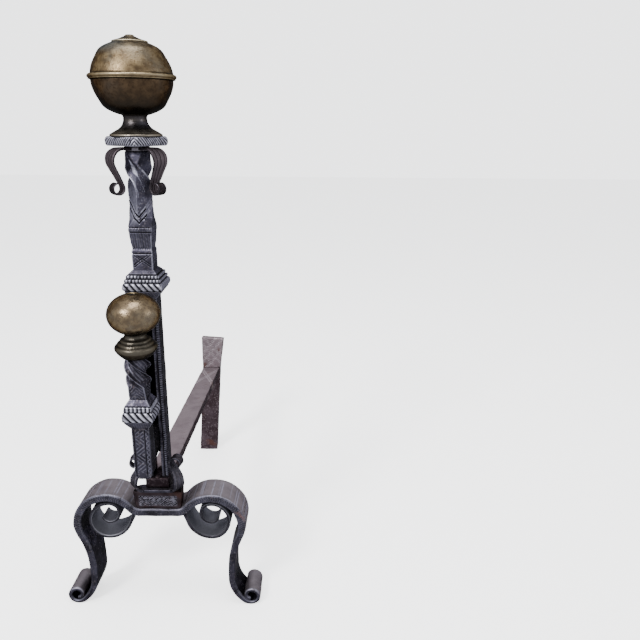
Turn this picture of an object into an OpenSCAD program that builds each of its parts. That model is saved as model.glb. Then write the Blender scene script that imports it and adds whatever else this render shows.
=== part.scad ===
// Wrought-iron andiron with brass ball finials, all sizes in millimetres.
// Seen from the front it looks towards +Y: +X is to the right, +Z is up, and the
// log bar runs back along +Y. The origin lies on the floor, in the middle of the
// outer box. Every iron bar is drawn as the smith bent it: a path of straights
// and arcs, given a thickness.

/* [Leg bar] */
// Width of the arched leg bar, front to back
leg_band_w = 38; // [30:1:46]
// Thickness of the leg bar over its arches
leg_bar_t = 9.2; // [7.5:0.1:10.5]
// Thickness of the leg bar at the shins
shin_t = 7.8; // [6:0.1:9]
// Thickness of the leg bar where it is rolled up in the foot
roll_t = 4.2; // [3:0.1:5]
// Half the length of the flat dip between the arches
dip_half = 21; // [18:0.5:26]
// Bend radius where the dip turns up into an arch
dip_bend_r = 14; // [11:0.5:18]
// Angle at which an arch leaves the dip
arch_rise = 51; // [42:1:54]
// Bend radius of an arch
arch_r = 34.9; // [32:0.1:40]
// Angle by which a leg turns in below its arch
shin_angle = 25; // [20:1:28]
// Bend radius of a shin
shin_r = 105; // [90:1:125]
// Straight length at the ankle
ankle_l = 12; // [2:0.5:16]
// Bend radius of the instep
instep_r = 40; // [34:1:46]
// Angle turned by the instep
instep_angle = 50; // [42:1:58]
// Bend radius of the toe
toe_r = 12; // [9:0.5:16]
// Bend radius of the foot roll, outer turn
roll_r = 8.6; // [7.6:0.1:10]
// Bend radius of the foot roll, inner turn
roll_eye_r = 6; // [5:0.1:6.8]
// Depth of the worn flat under each foot roll
foot_flat = 0.3; // [0.1:0.1:0.6]

/* [Inner scrolls] */
// Width of an inner scroll, front to back
scroll_w = 34; // [26:1:38]
// Thickness of an inner scroll at its root
scroll_t = 3.6; // [2.6:0.1:4.4]
// Thickness of an inner scroll at its tip
scroll_tip_t = 2.4; // [1.6:0.1:3]
// Distance of the scroll root from the end of the dip
scroll_root_out = 6.9; // [5:0.1:8]
// Straight length of the scroll root
scroll_root_l = 16; // [14:0.5:17]
// Bend radius of the scroll where it leaves the dip
scroll_drop_r = 27.2; // [25:0.1:29]
// Bend radius of the scroll's outer turn
scroll_turn_r = 20.4; // [18:0.1:20.6]
// Bend radius of the scroll's inner turn
scroll_eye_r = 12.5; // [11:0.1:14]
// Bend radius of the scroll tip
scroll_tip_r = 8; // [6:0.1:9]

/* [Base block and lyre] */
// Height of the base block
base_block_h = 21.4; // [17:0.1:25]
// Depth of the base block, front to back
base_block_d = 15; // [13:0.5:16]
// Width of the base block along its top
base_block_top_w = 55; // [50:1:58]
// Width of the base block along its foot
base_block_foot_w = 50; // [44:1:54]
// Width of the lyre band, front to back
lyre_w = 14; // [13:0.5:16]
// Distance of the lyre's front edge from the post's axis
lyre_out = 19; // [18:0.1:19.5]
// Angle by which each horn of the lyre is turned to the front
lyre_horn_angle = 32; // [5:1:40]
// Thickness of the lyre band
lyre_t = 3; // [2:0.1:4]
// Half the flat length of the lyre
lyre_half = 17; // [15.5:0.5:20]
// Bend radius of the lyre's belly
lyre_belly_r = 10.5; // [9:0.1:12]
// Straight length of a lyre arm
lyre_arm_l = 11; // [9:0.5:12]
// Bend radius of the lyre's tip curls
lyre_curl_r = 6; // [4.5:0.1:7]

/* [Log bar] */
// Width of the log bar
log_bar_w = 27; // [25:0.5:32]
// Height of the log bar
log_bar_h = 12.4; // [10:0.1:15]
// Length of the log bar from the post's axis to the rear upright
log_bar_l = 365; // [300:5:420]
// Drop of the log bar between the post and the rear upright
log_bar_drop = 11.5; // [6:0.5:16]
// Length of the log bar in front of the post's axis
log_bar_front = 14; // [13.9:0.1:16]
// Distance of the back of the log bar's head behind the post's axis
log_bar_head = 17; // [15:0.5:18.5]

/* [Rear upright] */
// Thickness of the rear upright
upright_t = 10; // [8:0.5:14]
// Width of the rear upright up to the log bar
upright_w = 29.5; // [28:0.5:34]
// Width of the rear upright along its top
upright_top_w = 36.5; // [34:0.5:42]
// Height of the log stop above the log bar
stop_h = 52; // [40:1:65]
// Lean of the rear upright to the right, in degrees
upright_lean = 4; // [0:0.5:5]
// Diameter of the log bar's round tenon through the upright
rear_tenon_d = 8; // [6:0.5:9]

/* [Tall post] */
// Width of the lower shaft
shaft_w = 24; // [22:0.5:26]
// Depth of the lower shaft, front to back
shaft_d = 20; // [18.5:0.5:24]
// Height of the lower shaft from the log bar to the collar
shaft_h = 208; // [190:1:230]
// Width of the channel sunk in the shaft's front
channel_w = 9.6; // [9.4:0.1:11]
// Thickness of the wall behind the channel
channel_back_t = 8; // [5:0.5:10]
// Plain length between the channel and the collar
channel_top_land = 6; // [3:0.5:12]
// Height of the open slot in the shaft's foot
slot_h = 25; // [15:1:28]
// Width of the chiselled block above the collar
post_block_w = 20.8; // [20:0.1:24]
// Height of the chiselled block above the collar
post_block_h = 20; // [15:0.5:26]
// Width of the waist above the block
waist_w = 19.6; // [18:0.1:22]
// Height of the waist
waist_h = 18.5; // [14:0.5:24]
// Height of the corded band above the waist
cord_band_h = 5.5; // [4:0.5:8]
// Width of the upper shaft
head_w = 23.4; // [21:0.1:23.6]
// Height of the straight part of the upper shaft
head_h = 35; // [26:1:50]
// Height of the twisted part of the upper shaft
head_twist_h = 39; // [30:1:50]
// Depth of the hollows in the twisted part
twist_hollow = 2.2; // [1:0.1:3]
// Diameter of the tenon that carries the ball
post_tenon_d = 10; // [8:0.5:12]

/* [Post collar] */
// Width of the collar over its rope moulding
collar_w = 41; // [36:0.5:46]
// Height of the rope moulding
collar_rope_h = 8.5; // [6:0.5:11]
// Height of each beaded step
collar_bead_h = 4; // [3:0.5:5.5]
// Set-back of each beaded step
collar_bead_step = 1.7; // [1:0.1:2]
// Height of the collar's top slope
collar_bevel_h = 4; // [3:0.5:6]
// Height of the collar's under slope
collar_under_h = 9.5; // [7:0.5:12]
// Width of the post's core inside the collar
collar_core_w = 17; // [15:0.5:18]

/* [Front baluster] */
// Distance of the baluster's axis in front of the post's axis
baluster_out = 55; // [50:1:62]
// Height of the baluster's foot above the log bar
baluster_lift = 28; // [20:1:30]
// Width of the panelled shaft
panel_w = 18; // [16:0.5:20]
// Height of the panelled shaft
panel_h = 58; // [52:1:70]
// Height over which the baluster's foot is rounded off
panel_foot_h = 7; // [4:0.5:9]
// Width of the baluster's collar
baluster_collar_w = 32; // [28:0.5:36]
// Height of the baluster collar's rope moulding
baluster_rope_h = 10; // [7:0.5:12]
// Height of the baluster collar's dentil row
baluster_dentil_h = 6.5; // [4:0.5:8]
// Height of the baluster collar's top slope
baluster_bevel_h = 6; // [4:0.5:8]
// Height of the baluster collar's under slope
baluster_under_h = 9; // [6:0.5:12]
// Width of the baluster's core inside its collar
baluster_core_w = 13; // [11:0.5:14]
// Width of the twisted stem
stem_w = 19; // [17:0.5:20]
// Height of the twisted stem
stem_h = 43; // [36:1:52]
// Angle by which the stem is twisted
stem_twist = 180; // [90:90:270]
// Diameter of the tenon that carries the small ball
baluster_tenon_d = 7; // [5:0.5:8]
// Width of the bracket that holds the baluster
arm_w = 9; // [7:0.1:9.2]
// Height of the bracket that holds the baluster
arm_h = 26; // [18:1:30]
// Height of the bracket's foot above the baluster's foot
arm_lift = 6; // [4:0.5:8]
// Diameter of the bracket's tenons
arm_tenon_d = 6; // [4:0.5:7]
// Depth of the bracket's tenon in the baluster
arm_tenon_l = 9; // [6:0.5:11]

/* [Small ball] */
// Diameter of the small ball
small_ball_d = 52; // [46:0.5:56]
// Height of the small ball
small_ball_h = 41.6; // [38:0.2:46]
// Diameter of the saucer under the small ball
saucer_d = 42; // [38:0.5:46]
// Thickness of the saucer's rim
saucer_rim_h = 7; // [5:0.5:9]
// Height of the saucer's lower step
saucer_foot_h = 6.5; // [4:0.5:8]
// Height of the saucer's upper step
saucer_step_h = 3.5; // [2:0.5:5]
// Height of the neck between saucer and ball
saucer_neck_h = 7.5; // [5:0.5:10]
// Diameter of the neck between saucer and ball
saucer_neck_d = 18; // [15:0.5:20]
// Diameter of the hollow in the small ball's top
crater_d = 11; // [10:0.5:13]
// Depth of the hollow in the small ball's top
crater_h = 3; // [2.5:0.5:5]

/* [Leaf bracket and plate] */
// Number of leaf arms
leaf_count = 3; // [2:1:4]
// Direction of the first leaf arm
leaf_angle = -20; // [-180:1:180]
// Width of a leaf arm
leaf_w = 15; // [11:0.5:17]
// Thickness of a leaf arm at its root
leaf_t = 2.4; // [1.8:0.1:3]
// Thickness of a leaf arm at its tip
leaf_tip_t = 1.4; // [1:0.1:2]
// Straight length of a leaf arm from the post's axis
leaf_reach = 18; // [17.5:0.1:20]
// Bend radius of a leaf arm's shoulder
leaf_bend_r = 11.2; // [10.5:0.1:13]
// Straight length of a leaf arm below its shoulder
leaf_drop_l = 20; // [14:0.5:21]
// Bend radius of a leaf arm's tip curl
leaf_curl_r = 5.5; // [4.5:0.1:6]
// Diameter of the leaf bracket's hub
hub_d = 24; // [20:0.5:27]
// Thickness of the leaf bracket's hub
hub_h = 5; // [3.5:0.5:7]
// Side of the square top plate
plate_w = 47; // [42:0.5:54]
// Thickness of the top plate
plate_h = 9; // [6:0.5:12]
// Cut across each corner of the top plate
plate_corner = 4.5; // [1:0.5:7]
// Direction of the top plate's first corner
plate_angle = 11; // [0:1:90]

/* [Great ball] */
// Diameter of the great ball
ball_d = 78; // [70:1:88]
// Height of the great ball without neck and cap, if it were closed
ball_h = 70; // [60:1:78]
// Wall thickness of the great ball
ball_wall = 1.8; // [1.2:0.1:2.4]
// Radius of the rolled rim round the great ball
rim_r = 2.8; // [2:0.1:3.5]
// Height of the rolled rim above the ball's middle
rim_lift = 1.6; // [0:0.1:1.9]
// Depth by which the lower shell tucks into the upper one
tuck_h = 4; // [2:0.5:6]
// Diameter of the neck's foot
neck_foot_d = 51; // [44:0.5:58]
// Thickness of the neck foot's rim
neck_foot_h = 2.5; // [1.5:0.1:4]
// Height of the neck
neck_h = 20; // [16:0.5:26]
// Diameter of the neck at its throat
neck_d = 22; // [20:0.5:25]
// Width of the neck's ledge
neck_ledge = 1.6; // [0.8:0.1:2.2]
// Height of the finial cap
cap_h = 7; // [5:0.5:10]
// Diameter of the finial cap
cap_d = 30; // [26:0.5:34]

/* [Rivets and fits] */
// Diameter of the base rivets
rivet_d = 5; // [4:0.5:6]
// Diameter of a rivet's domed head
rivet_head_d = 8.4; // [7:0.1:9]
// Height of a rivet's domed head
rivet_head_h = 2.4; // [1.5:0.1:3]
// Distance of the base rivets from the post's axis
rivet_out = 9.5; // [9.3:0.1:9.6]
// Diameter of the two tenons under the post's prongs
prong_tenon_d = 5; // [4:0.5:5.5]
// Length of the two tenons under the post's prongs
prong_tenon_l = 24; // [14:1:28]
// Radial clearance of what turns on a tenon
turning_fit = 0.08; // [0.05:0.01:0.1]
// Radial clearance of what is riveted up
fixed_fit = 0.05; // [0.02:0.01:0.1]

/* [Hidden] */

$fn = 64;
arc_step = 7;
// Angles by which the tips of the bent bars are curled up.
foot_eye_turn = 170;
scroll_tip_turn = 70;
horn_tip_turn = 250;
leaf_tip_turn = 260;
iron = "#55505c";
bright_iron = "#6d6a78";
rusty_iron = "#6b4a42";
brass = "#8d7440";
dark_brass = "#4c4335";

// ---- bent bars: a path is a list of points [across, up, heading, thickness] ----

// A move is [radius, amount, thickness at its end]. With radius 0 the amount is a
// straight length; otherwise it is an angle, turned left for a positive radius and
// right for a negative one.
function move_point(start, move, share) =
    let (t = start[3] + (move[2] - start[3]) * share)
    move[0] == 0
        ? [start[0] + share * move[1] * cos(start[2]),
           start[1] + share * move[1] * sin(start[2]), start[2], t]
        : let (turned = start[2] + sign(move[0]) * move[1] * share)
          [start[0] + move[0] * (sin(turned) - sin(start[2])),
           start[1] - move[0] * (cos(turned) - cos(start[2])), turned, t];

function walk(start, moves, i = 0) =
    i == len(moves) ? [start] :
    let (steps = moves[i][0] == 0 ? 1 : ceil(moves[i][1] / arc_step))
    concat([for (k = [0:steps - 1]) move_point(start, moves[i], k / steps)],
           walk(move_point(start, moves[i], 1), moves, i + 1));

function backwards(list) = [for (i = [len(list) - 1:-1:0]) list[i]];

function path_side(path, side) =
    [for (p = path) [p[0] - side * p[3] / 2 * sin(p[2]), p[1] + side * p[3] / 2 * cos(p[2])]];

function band_outline(path) = concat(path_side(path, 1), backwards(path_side(path, -1)));

// The same path on the other side of the middle, walked towards the middle.
function other_half(path) =
    [for (i = [len(path) - 1:-1:1]) [-path[i][0], path[i][1], -path[i][2], path[i][3]]];

function flip_x(points) = [for (p = points) [-p[0], p[1]]];

function lowest(points) = min([for (p = points) p[1]]);

function farthest(points) = max([for (p = points) p[0]]);

function oval_arc(r, h, from, to, steps) =
    [for (k = [0:steps]) let (a = from + (to - from) * k / steps) [r * cos(a), h * sin(a)]];

// ---- leg bar, from the middle of the dip to the roll of the right foot ----

leg_half = walk([0, 0, 0, leg_bar_t], [
    [0, dip_half, leg_bar_t],
    [dip_bend_r, arch_rise, leg_bar_t],
    [-arch_r, arch_rise + 90, leg_bar_t],
    [-arch_r, shin_angle, shin_t],
    [shin_r, shin_angle, shin_t],
    [0, ankle_l, shin_t],
    [instep_r, instep_angle, (shin_t + roll_t) / 2],
    [toe_r, 90 - instep_angle, roll_t],
    [roll_r, 180, roll_t],
    [roll_eye_r, foot_eye_turn, roll_t]
]);
dip_z = -lowest(band_outline(leg_half)) - foot_flat;
dip_top = dip_z + leg_bar_t / 2;
leg_span = 2 * farthest(band_outline(leg_half));

// ---- heights of what stands on the leg bar ----

block_top = dip_top + base_block_h;
bar_seat = block_top + lyre_t;
bar_top = bar_seat + log_bar_h;
bar_run = log_bar_l - log_bar_head;
bar_slope = atan(log_bar_drop / bar_run);
bar_rear_top = bar_top - log_bar_drop;
bar_rear_mid = bar_rear_top - log_bar_h / 2;
shaft_top = bar_top + shaft_h;
collar_h = collar_under_h + collar_rope_h + 2 * collar_bead_h + collar_bevel_h;
collar_top = shaft_top + collar_h;
post_block_top = collar_top + post_block_h;
waist_top = post_block_top + waist_h;
cord_top = waist_top + cord_band_h;
head_top = cord_top + head_h;
post_top = head_top + head_twist_h;
hub_top = post_top + hub_h;
plate_top = hub_top + plate_h;
neck_top = plate_top + neck_h;
prong_x = (shaft_w + channel_w) / 4;
prong_y = 4;
lyre_front_y = -lyre_out;
lyre_back_y = lyre_front_y + lyre_w;
block_set_back = 2;
block_front_y = lyre_front_y + block_set_back;
block_back_y = block_front_y + base_block_d;

// The great ball is an oval cut off at its neck below and at its cap above.
ball_r = ball_d / 2;
ball_half_h = ball_h / 2;
function oval_rise(r, full_r, full_h) = full_h * sqrt(1 - pow(r / full_r, 2));
ball_seat_r = neck_d / 2 + 2;
ball_mid = neck_top + oval_rise(ball_seat_r, ball_r, ball_half_h);
ball_cut = ball_mid + oval_rise(cap_d / 2, ball_r, ball_half_h);
cap_top = ball_cut + cap_h;

// ---- heights of the baluster, measured the same way ----

panel_foot = bar_top + baluster_lift;
panel_top = panel_foot + panel_h;
baluster_collar_h = baluster_under_h + baluster_rope_h + baluster_dentil_h + baluster_bevel_h;
stem_foot = panel_top + baluster_collar_h;
stem_top = stem_foot + stem_h;
saucer_top = stem_top + saucer_foot_h + saucer_rim_h + saucer_step_h + saucer_neck_h;
small_ball_r = small_ball_d / 2;
small_ball_half_h = small_ball_h / 2;
small_ball_mid = saucer_top + oval_rise(saucer_neck_d / 2, small_ball_r, small_ball_half_h);
crater_rim = small_ball_mid + oval_rise(crater_d / 2, small_ball_r, small_ball_half_h);
crater_floor = crater_rim - crater_h;
arm_foot = panel_foot + arm_lift;
arm_mid = arm_foot + arm_h / 2;
channel_back_y = shaft_d / 2 - channel_back_t;
front_reach = baluster_out + max(small_ball_r, saucer_d / 2);
rear_reach = log_bar_l + upright_t + rivet_head_h;
post_y = (front_reach - rear_reach) / 2;
all_round = 4 * leg_span;

// ---- shared shapes ----

// Places what is drawn round the post's axis in the part's own frame.
module at_post() {
    translate([0, post_y, 0]) children();
}

module at_baluster() {
    translate([0, post_y - baluster_out, 0]) children();
}

// An outline seen from the front, given a width front to back.
module front_cut(outline, width) {
    rotate([90, 0, 0]) linear_extrude(width, center = true) polygon(outline);
}

// An outline seen from the side, given a width across.
module side_cut(outline, width) {
    rotate([90, 0, 90]) linear_extrude(width, center = true) polygon(outline);
}

// A straight forging of rectangular section; a station is [height, width, depth].
module forging(stations) {
    widths = concat([for (s = stations) [s[1] / 2, s[0]]],
                    backwards([for (s = stations) [-s[1] / 2, s[0]]]));
    depths = concat([for (s = stations) [s[2] / 2, s[0]]],
                    backwards([for (s = stations) [-s[2] / 2, s[0]]]));
    intersection() {
        front_cut(widths, all_round);
        side_cut(depths, all_round);
    }
}

// A square bar with hollowed faces, twisted as it rises.
module twisted_bar(width, height, turn) {
    hollow_r = width / 4;
    linear_extrude(height, twist = turn, slices = ceil(turn / 9)) difference() {
        square(width, center = true);
        for (side = [0:3]) rotate(90 * side)
            translate([width / 2 + hollow_r - twist_hollow, 0]) circle(hollow_r, $fn = 20);
    }
}

// A domed head whose flat side is down.
module dome(diameter, height) {
    ball_radius = (pow(diameter / 2, 2) + pow(height, 2)) / (2 * height);
    intersection() {
        translate([0, 0, height - ball_radius]) sphere(ball_radius);
        cylinder(height, d = diameter);
    }
}

// A turned piece; its outline is [radius, height] from the foot up, and it is bored.
module turned(outline, bore_d) {
    foot = outline[0][1];
    top = outline[len(outline) - 1][1];
    difference() {
        rotate_extrude() polygon(concat([[0, foot]], outline, [[0, top]]));
        translate([0, 0, foot - 1]) cylinder(top - foot + 2, d = bore_d);
    }
}

module leg_solid(width) {
    difference() {
        translate([0, 0, dip_z])
            front_cut(band_outline(concat(other_half(leg_half), leg_half)), width);
        translate([0, 0, -all_round / 2]) cube(all_round, center = true);
    }
}

// The holes for the two base rivets, through everything that they hold.
module rivet_holes() {
    for (side = [-1, 1])
        translate([0, side * rivet_out, 0]) cylinder(bar_top + 1, d = rivet_d + 2 * fixed_fit);
}

module prong_tenons(clearance) {
    for (side = [-1, 1])
        translate([side * prong_x, prong_y, bar_top - prong_tenon_l - clearance])
            cylinder(prong_tenon_l + 2 * clearance, d = prong_tenon_d + 2 * clearance);
}

// ---- the pieces ----

module leg_bar() {
    color(iron) at_post() difference() {
        leg_solid(leg_band_w);
        rivet_holes();
    }
}

scroll_fall = 70;
scroll_path = walk([dip_half + scroll_root_out, dip_z, -scroll_fall, scroll_t], [
    [0, scroll_root_l, scroll_t],
    [scroll_drop_r, scroll_fall, scroll_t],
    [scroll_turn_r, 180, scroll_t],
    [scroll_eye_r, 180, scroll_tip_t],
    [scroll_tip_r, scroll_tip_turn, scroll_tip_t]
]);

// The root of a scroll is scarfed to the underside of the leg bar.
module inner_scroll(outline) {
    color(iron) at_post() difference() {
        front_cut(outline, scroll_w);
        leg_solid(2 * leg_band_w);
    }
}

module left_inner_scroll() {
    inner_scroll(flip_x(band_outline(scroll_path)));
}

module right_inner_scroll() {
    inner_scroll(band_outline(scroll_path));
}

module base_block() {
    foot = base_block_foot_w / 2;
    top = base_block_top_w / 2;
    color(rusty_iron) at_post() difference() {
        translate([0, block_front_y + base_block_d / 2, 0])
            front_cut([[-foot, dip_z], [foot, dip_z], [top, block_top], [-top, block_top]],
                      base_block_d);
        leg_solid(2 * leg_band_w);
        rivet_holes();
    }
}

// A horn of the lyre, from its root at the end of the flat foot to its curled tip.
horn_lean = 35;
horn_neck_r = 16;
horn_path = walk([0, 0, 0, lyre_t], [
    [lyre_belly_r, 90 + horn_lean, lyre_t],
    [0, lyre_arm_l, lyre_t],
    [-horn_neck_r, horn_lean, lyre_t * 0.8],
    [-lyre_curl_r, horn_tip_turn, lyre_t * 0.6]
]);

// The foot of the lyre ends where its horns turn off to the front.
module lyre_foot() {
    half_w = lyre_w / 2;
    mitre = half_w * tan(lyre_horn_angle / 2);
    front = [lyre_half - mitre, -half_w];
    back = [lyre_half + mitre, half_w];
    root = [lyre_half + half_w * sin(lyre_horn_angle), half_w * cos(lyre_horn_angle)];
    linear_extrude(lyre_t, center = true) polygon([
        front, root, back, [-back[0], back[1]], [-root[0], root[1]], [-front[0], front[1]]
    ]);
}

module lyre_scroll() {
    color(iron) at_post() difference() {
        translate([0, (lyre_front_y + lyre_back_y) / 2, block_top + lyre_t / 2]) {
            lyre_foot();
            translate([lyre_half, 0, 0]) rotate(-lyre_horn_angle)
                front_cut(band_outline(horn_path), lyre_w);
            translate([-lyre_half, 0, 0]) rotate(lyre_horn_angle)
                front_cut(flip_x(band_outline(horn_path)), lyre_w);
        }
        rivet_holes();
    }
}

// The log bar's head is set down into the dip, behind the base block.
module log_bar() {
    tenon_l = upright_t + fixed_fit;
    head_front_y = lyre_back_y + fixed_fit;
    color(rusty_iron) at_post() {
        difference() {
            side_cut([[-log_bar_front, bar_seat], [head_front_y, bar_seat],
                      [head_front_y, block_top], [block_back_y, block_top],
                      [block_back_y, dip_top], [log_bar_head, dip_top],
                      [log_bar_head, bar_seat], [log_bar_l, bar_seat - log_bar_drop],
                      [log_bar_l, bar_rear_top], [log_bar_head, bar_top],
                      [-log_bar_front, bar_top]], log_bar_w);
            rivet_holes();
            prong_tenons(fixed_fit);
        }
        translate([0, log_bar_l - 1, bar_rear_mid]) rotate([-90, 0, 0])
            cylinder(tenon_l + 1, d = rear_tenon_d);
        translate([0, log_bar_l + upright_t, bar_rear_mid]) rotate([-90, 0, 0])
            dome(1.6 * rear_tenon_d, rivet_head_h);
    }
}

module rear_upright() {
    half = upright_w / 2;
    top_half = upright_top_w / 2;
    below = -upright_w;
    color(rusty_iron) at_post() difference() {
        translate([0, log_bar_l + upright_t / 2, bar_rear_mid]) rotate([0, upright_lean, 0])
            translate([0, 0, -bar_rear_mid])
                front_cut([[-half, below], [half, below], [half, bar_rear_top],
                           [top_half, bar_rear_top + stop_h], [-top_half, bar_rear_top + stop_h],
                           [-half, bar_rear_top]], upright_t);
        translate([0, log_bar_l, -all_round / 2]) cube(all_round, center = true);
        translate([0, log_bar_l - 1, bar_rear_mid]) rotate([-90, 0, 0])
            cylinder(upright_t + 2, d = rear_tenon_d + 2 * fixed_fit);
    }
}

module base_rivets() {
    color(bright_iron) at_post() for (side = [-1, 1]) translate([0, side * rivet_out, 0]) {
        translate([0, 0, dip_z - leg_bar_t / 2])
            cylinder(bar_top - dip_z + leg_bar_t / 2, d = rivet_d);
        translate([0, 0, bar_top]) dome(rivet_head_d, rivet_head_h);
        translate([0, 0, dip_z - leg_bar_t / 2]) mirror([0, 0, 1])
            dome(rivet_head_d, rivet_head_h);
    }
}

module tall_post() {
    core = collar_core_w;
    cord_w = head_w + 0.6;
    color(iron) at_post() {
        difference() {
            forging([
                [bar_top, shaft_w, shaft_d], [shaft_top, shaft_w, shaft_d],
                [shaft_top, core, core], [collar_top, core, core],
                [collar_top, post_block_w, post_block_w],
                [post_block_top, post_block_w, post_block_w],
                [post_block_top, waist_w, waist_w], [waist_top, head_w, head_w],
                [waist_top, cord_w, cord_w], [cord_top, cord_w, cord_w],
                [cord_top, head_w, head_w], [head_top, head_w, head_w]
            ]);
            translate([-channel_w / 2, -shaft_d, bar_top - 1])
                cube([channel_w, shaft_d + channel_back_y, shaft_h - channel_top_land + 1]);
            translate([-channel_w / 2, -shaft_d, bar_top - 1])
                cube([channel_w, 2 * shaft_d, slot_h + 1]);
            translate([0, 0, arm_mid]) rotate([-90, 0, 0])
                cylinder(shaft_d, d = arm_tenon_d + 2 * fixed_fit);
        }
        translate([0, 0, head_top]) twisted_bar(head_w, head_twist_h, 90);
        translate([0, 0, post_top - 1])
            cylinder(cap_top - cap_h / 2 - post_top + 1, d = post_tenon_d);
        prong_tenons(0);
    }
}

// A square collar forced over the core of a bar, from its under slope to its top slope.
module square_collar(foot, half_w, core, tiers) {
    color(bright_iron) difference() {
        forging([for (t = tiers) [foot + t[0], 2 * (half_w - t[1]), 2 * (half_w - t[1])]]);
        translate([0, 0, foot]) cube([core, core, all_round] + fixed_fit * [2, 2, 0], center = true);
    }
}

module post_collar() {
    rope_foot = collar_under_h;
    rope_top = rope_foot + collar_rope_h;
    bead_top = rope_top + collar_bead_h;
    slope_foot = bead_top + collar_bead_h;
    half_w = collar_w / 2;
    at_post() square_collar(shaft_top, half_w, collar_core_w, [
        [0, half_w - shaft_w / 2], [rope_foot - 1, 1.4], [rope_foot, 0.6],
        [rope_foot + 0.25 * collar_rope_h, 0], [rope_top - 0.25 * collar_rope_h, 0],
        [rope_top, 0.6], [rope_top, collar_bead_step], [bead_top, collar_bead_step],
        [bead_top, 2 * collar_bead_step], [slope_foot, 2 * collar_bead_step],
        [slope_foot, 3 * collar_bead_step], [collar_h, half_w - post_block_w / 2 - 0.8]
    ]);
}

module baluster_bracket() {
    reach = baluster_out - panel_w / 2 + channel_back_y;
    color(iron) at_post() {
        translate([-arm_w / 2, channel_back_y - reach, arm_foot]) cube([arm_w, reach, arm_h]);
        translate([0, channel_back_y - reach - arm_tenon_l, arm_mid]) rotate([-90, 0, 0])
            cylinder(reach + arm_tenon_l + channel_back_t, d = arm_tenon_d);
        translate([0, shaft_d / 2, arm_mid]) rotate([-90, 0, 0])
            dome(1.6 * arm_tenon_d, rivet_head_h);
    }
}

module baluster_post() {
    core = baluster_core_w;
    color(iron) at_baluster() {
        difference() {
            forging([
                [panel_foot, 0.55 * panel_w, panel_w],
                [panel_foot + 0.25 * panel_foot_h, 0.8 * panel_w, panel_w],
                [panel_foot + panel_foot_h, panel_w, panel_w], [panel_top, panel_w, panel_w],
                [panel_top, core, core], [stem_foot, core, core]
            ]);
            translate([0, panel_w / 2 - arm_tenon_l - fixed_fit, arm_mid]) rotate([-90, 0, 0])
                cylinder(panel_w, d = arm_tenon_d + 2 * fixed_fit);
        }
        translate([0, 0, stem_foot]) twisted_bar(stem_w, stem_h, stem_twist);
        translate([0, 0, stem_top - 1])
            cylinder(crater_floor - stem_top + 1, d = baluster_tenon_d);
        translate([0, 0, crater_floor]) dome(1.3 * baluster_tenon_d, 0.8 * crater_h);
    }
}

module baluster_collar() {
    rope_foot = baluster_under_h;
    rope_top = rope_foot + baluster_rope_h;
    dentil_top = rope_top + baluster_dentil_h;
    half_w = baluster_collar_w / 2;
    at_baluster() square_collar(panel_top, half_w, baluster_core_w, [
        [0, half_w - panel_w / 2], [rope_foot, 0.8],
        [rope_foot + 0.3 * baluster_rope_h, 0], [rope_top - 0.3 * baluster_rope_h, 0],
        [rope_top, 0.8], [rope_top, 1.6], [dentil_top, 1.6], [dentil_top, 2.6],
        [baluster_collar_h, half_w - stem_w / 2 - 0.5]
    ]);
}

module saucer() {
    rim_foot = saucer_foot_h;
    rim_top = rim_foot + saucer_rim_h;
    step_top = rim_top + saucer_step_h;
    rim = saucer_d / 2;
    neck = saucer_neck_d / 2;
    top = step_top + saucer_neck_h;
    color(brass) at_baluster() translate([0, 0, stem_top]) turned([
        [0.7 * rim, 0], [0.74 * rim, 0.3 * rim_foot], [0.9 * rim, 0.7 * rim_foot],
        [0.9 * rim, rim_foot], [0.97 * rim, rim_foot], [rim, rim_foot + 0.3 * saucer_rim_h],
        [rim, rim_foot + 0.6 * saucer_rim_h], [0.95 * rim, rim_top], [0.8 * rim, rim_top],
        [0.78 * rim, step_top], [neck + 2, step_top], [neck, step_top + 0.4 * saucer_neck_h],
        [neck, top]
    ], baluster_tenon_d + 2 * turning_fit);
}

module small_ball() {
    seat_angle = -acos(saucer_neck_d / small_ball_d);
    rim_angle = acos(crater_d / small_ball_d);
    color(brass) at_baluster() difference() {
        translate([0, 0, small_ball_mid]) turned(
            oval_arc(small_ball_r, small_ball_half_h, seat_angle, rim_angle, 26),
            baluster_tenon_d + 2 * turning_fit);
        translate([0, 0, crater_floor]) cylinder(2 * crater_h, d = crater_d - 1);
    }
}

leaf_lean = 26;
leaf_neck_r = 9;
leaf_path = walk([0, post_top + hub_h / 2, 0, leaf_t], [
    [0, leaf_reach, leaf_t],
    [-leaf_bend_r, 90 + leaf_lean, leaf_t],
    [0, leaf_drop_l, leaf_t],
    [leaf_neck_r, leaf_lean, leaf_t],
    [leaf_curl_r, leaf_tip_turn, leaf_tip_t]
]);

module leaf_bracket() {
    bore_d = post_tenon_d + 2 * turning_fit;
    color(iron) at_post() difference() {
        union() {
            translate([0, 0, post_top]) cylinder(hub_h, d = hub_d);
            for (arm = [0:leaf_count - 1]) rotate(leaf_angle - 360 / leaf_count * arm)
                front_cut(band_outline(leaf_path), leaf_w);
        }
        translate([0, 0, post_top - 1]) cylinder(hub_h + 2, d = bore_d);
    }
}

module top_plate() {
    bore_d = post_tenon_d + 2 * turning_fit;
    half = plate_w / 2;
    cut = half - plate_corner;
    color(bright_iron) at_post() translate([0, 0, hub_top]) rotate(plate_angle - 45)
        difference() {
            linear_extrude(plate_h) polygon([
                [cut, -half], [half, -cut], [half, cut], [cut, half],
                [-cut, half], [-half, cut], [-half, -cut], [-cut, -half]
            ]);
            translate([0, 0, -1]) cylinder(plate_h + 2, d = bore_d);
        }
}

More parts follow.
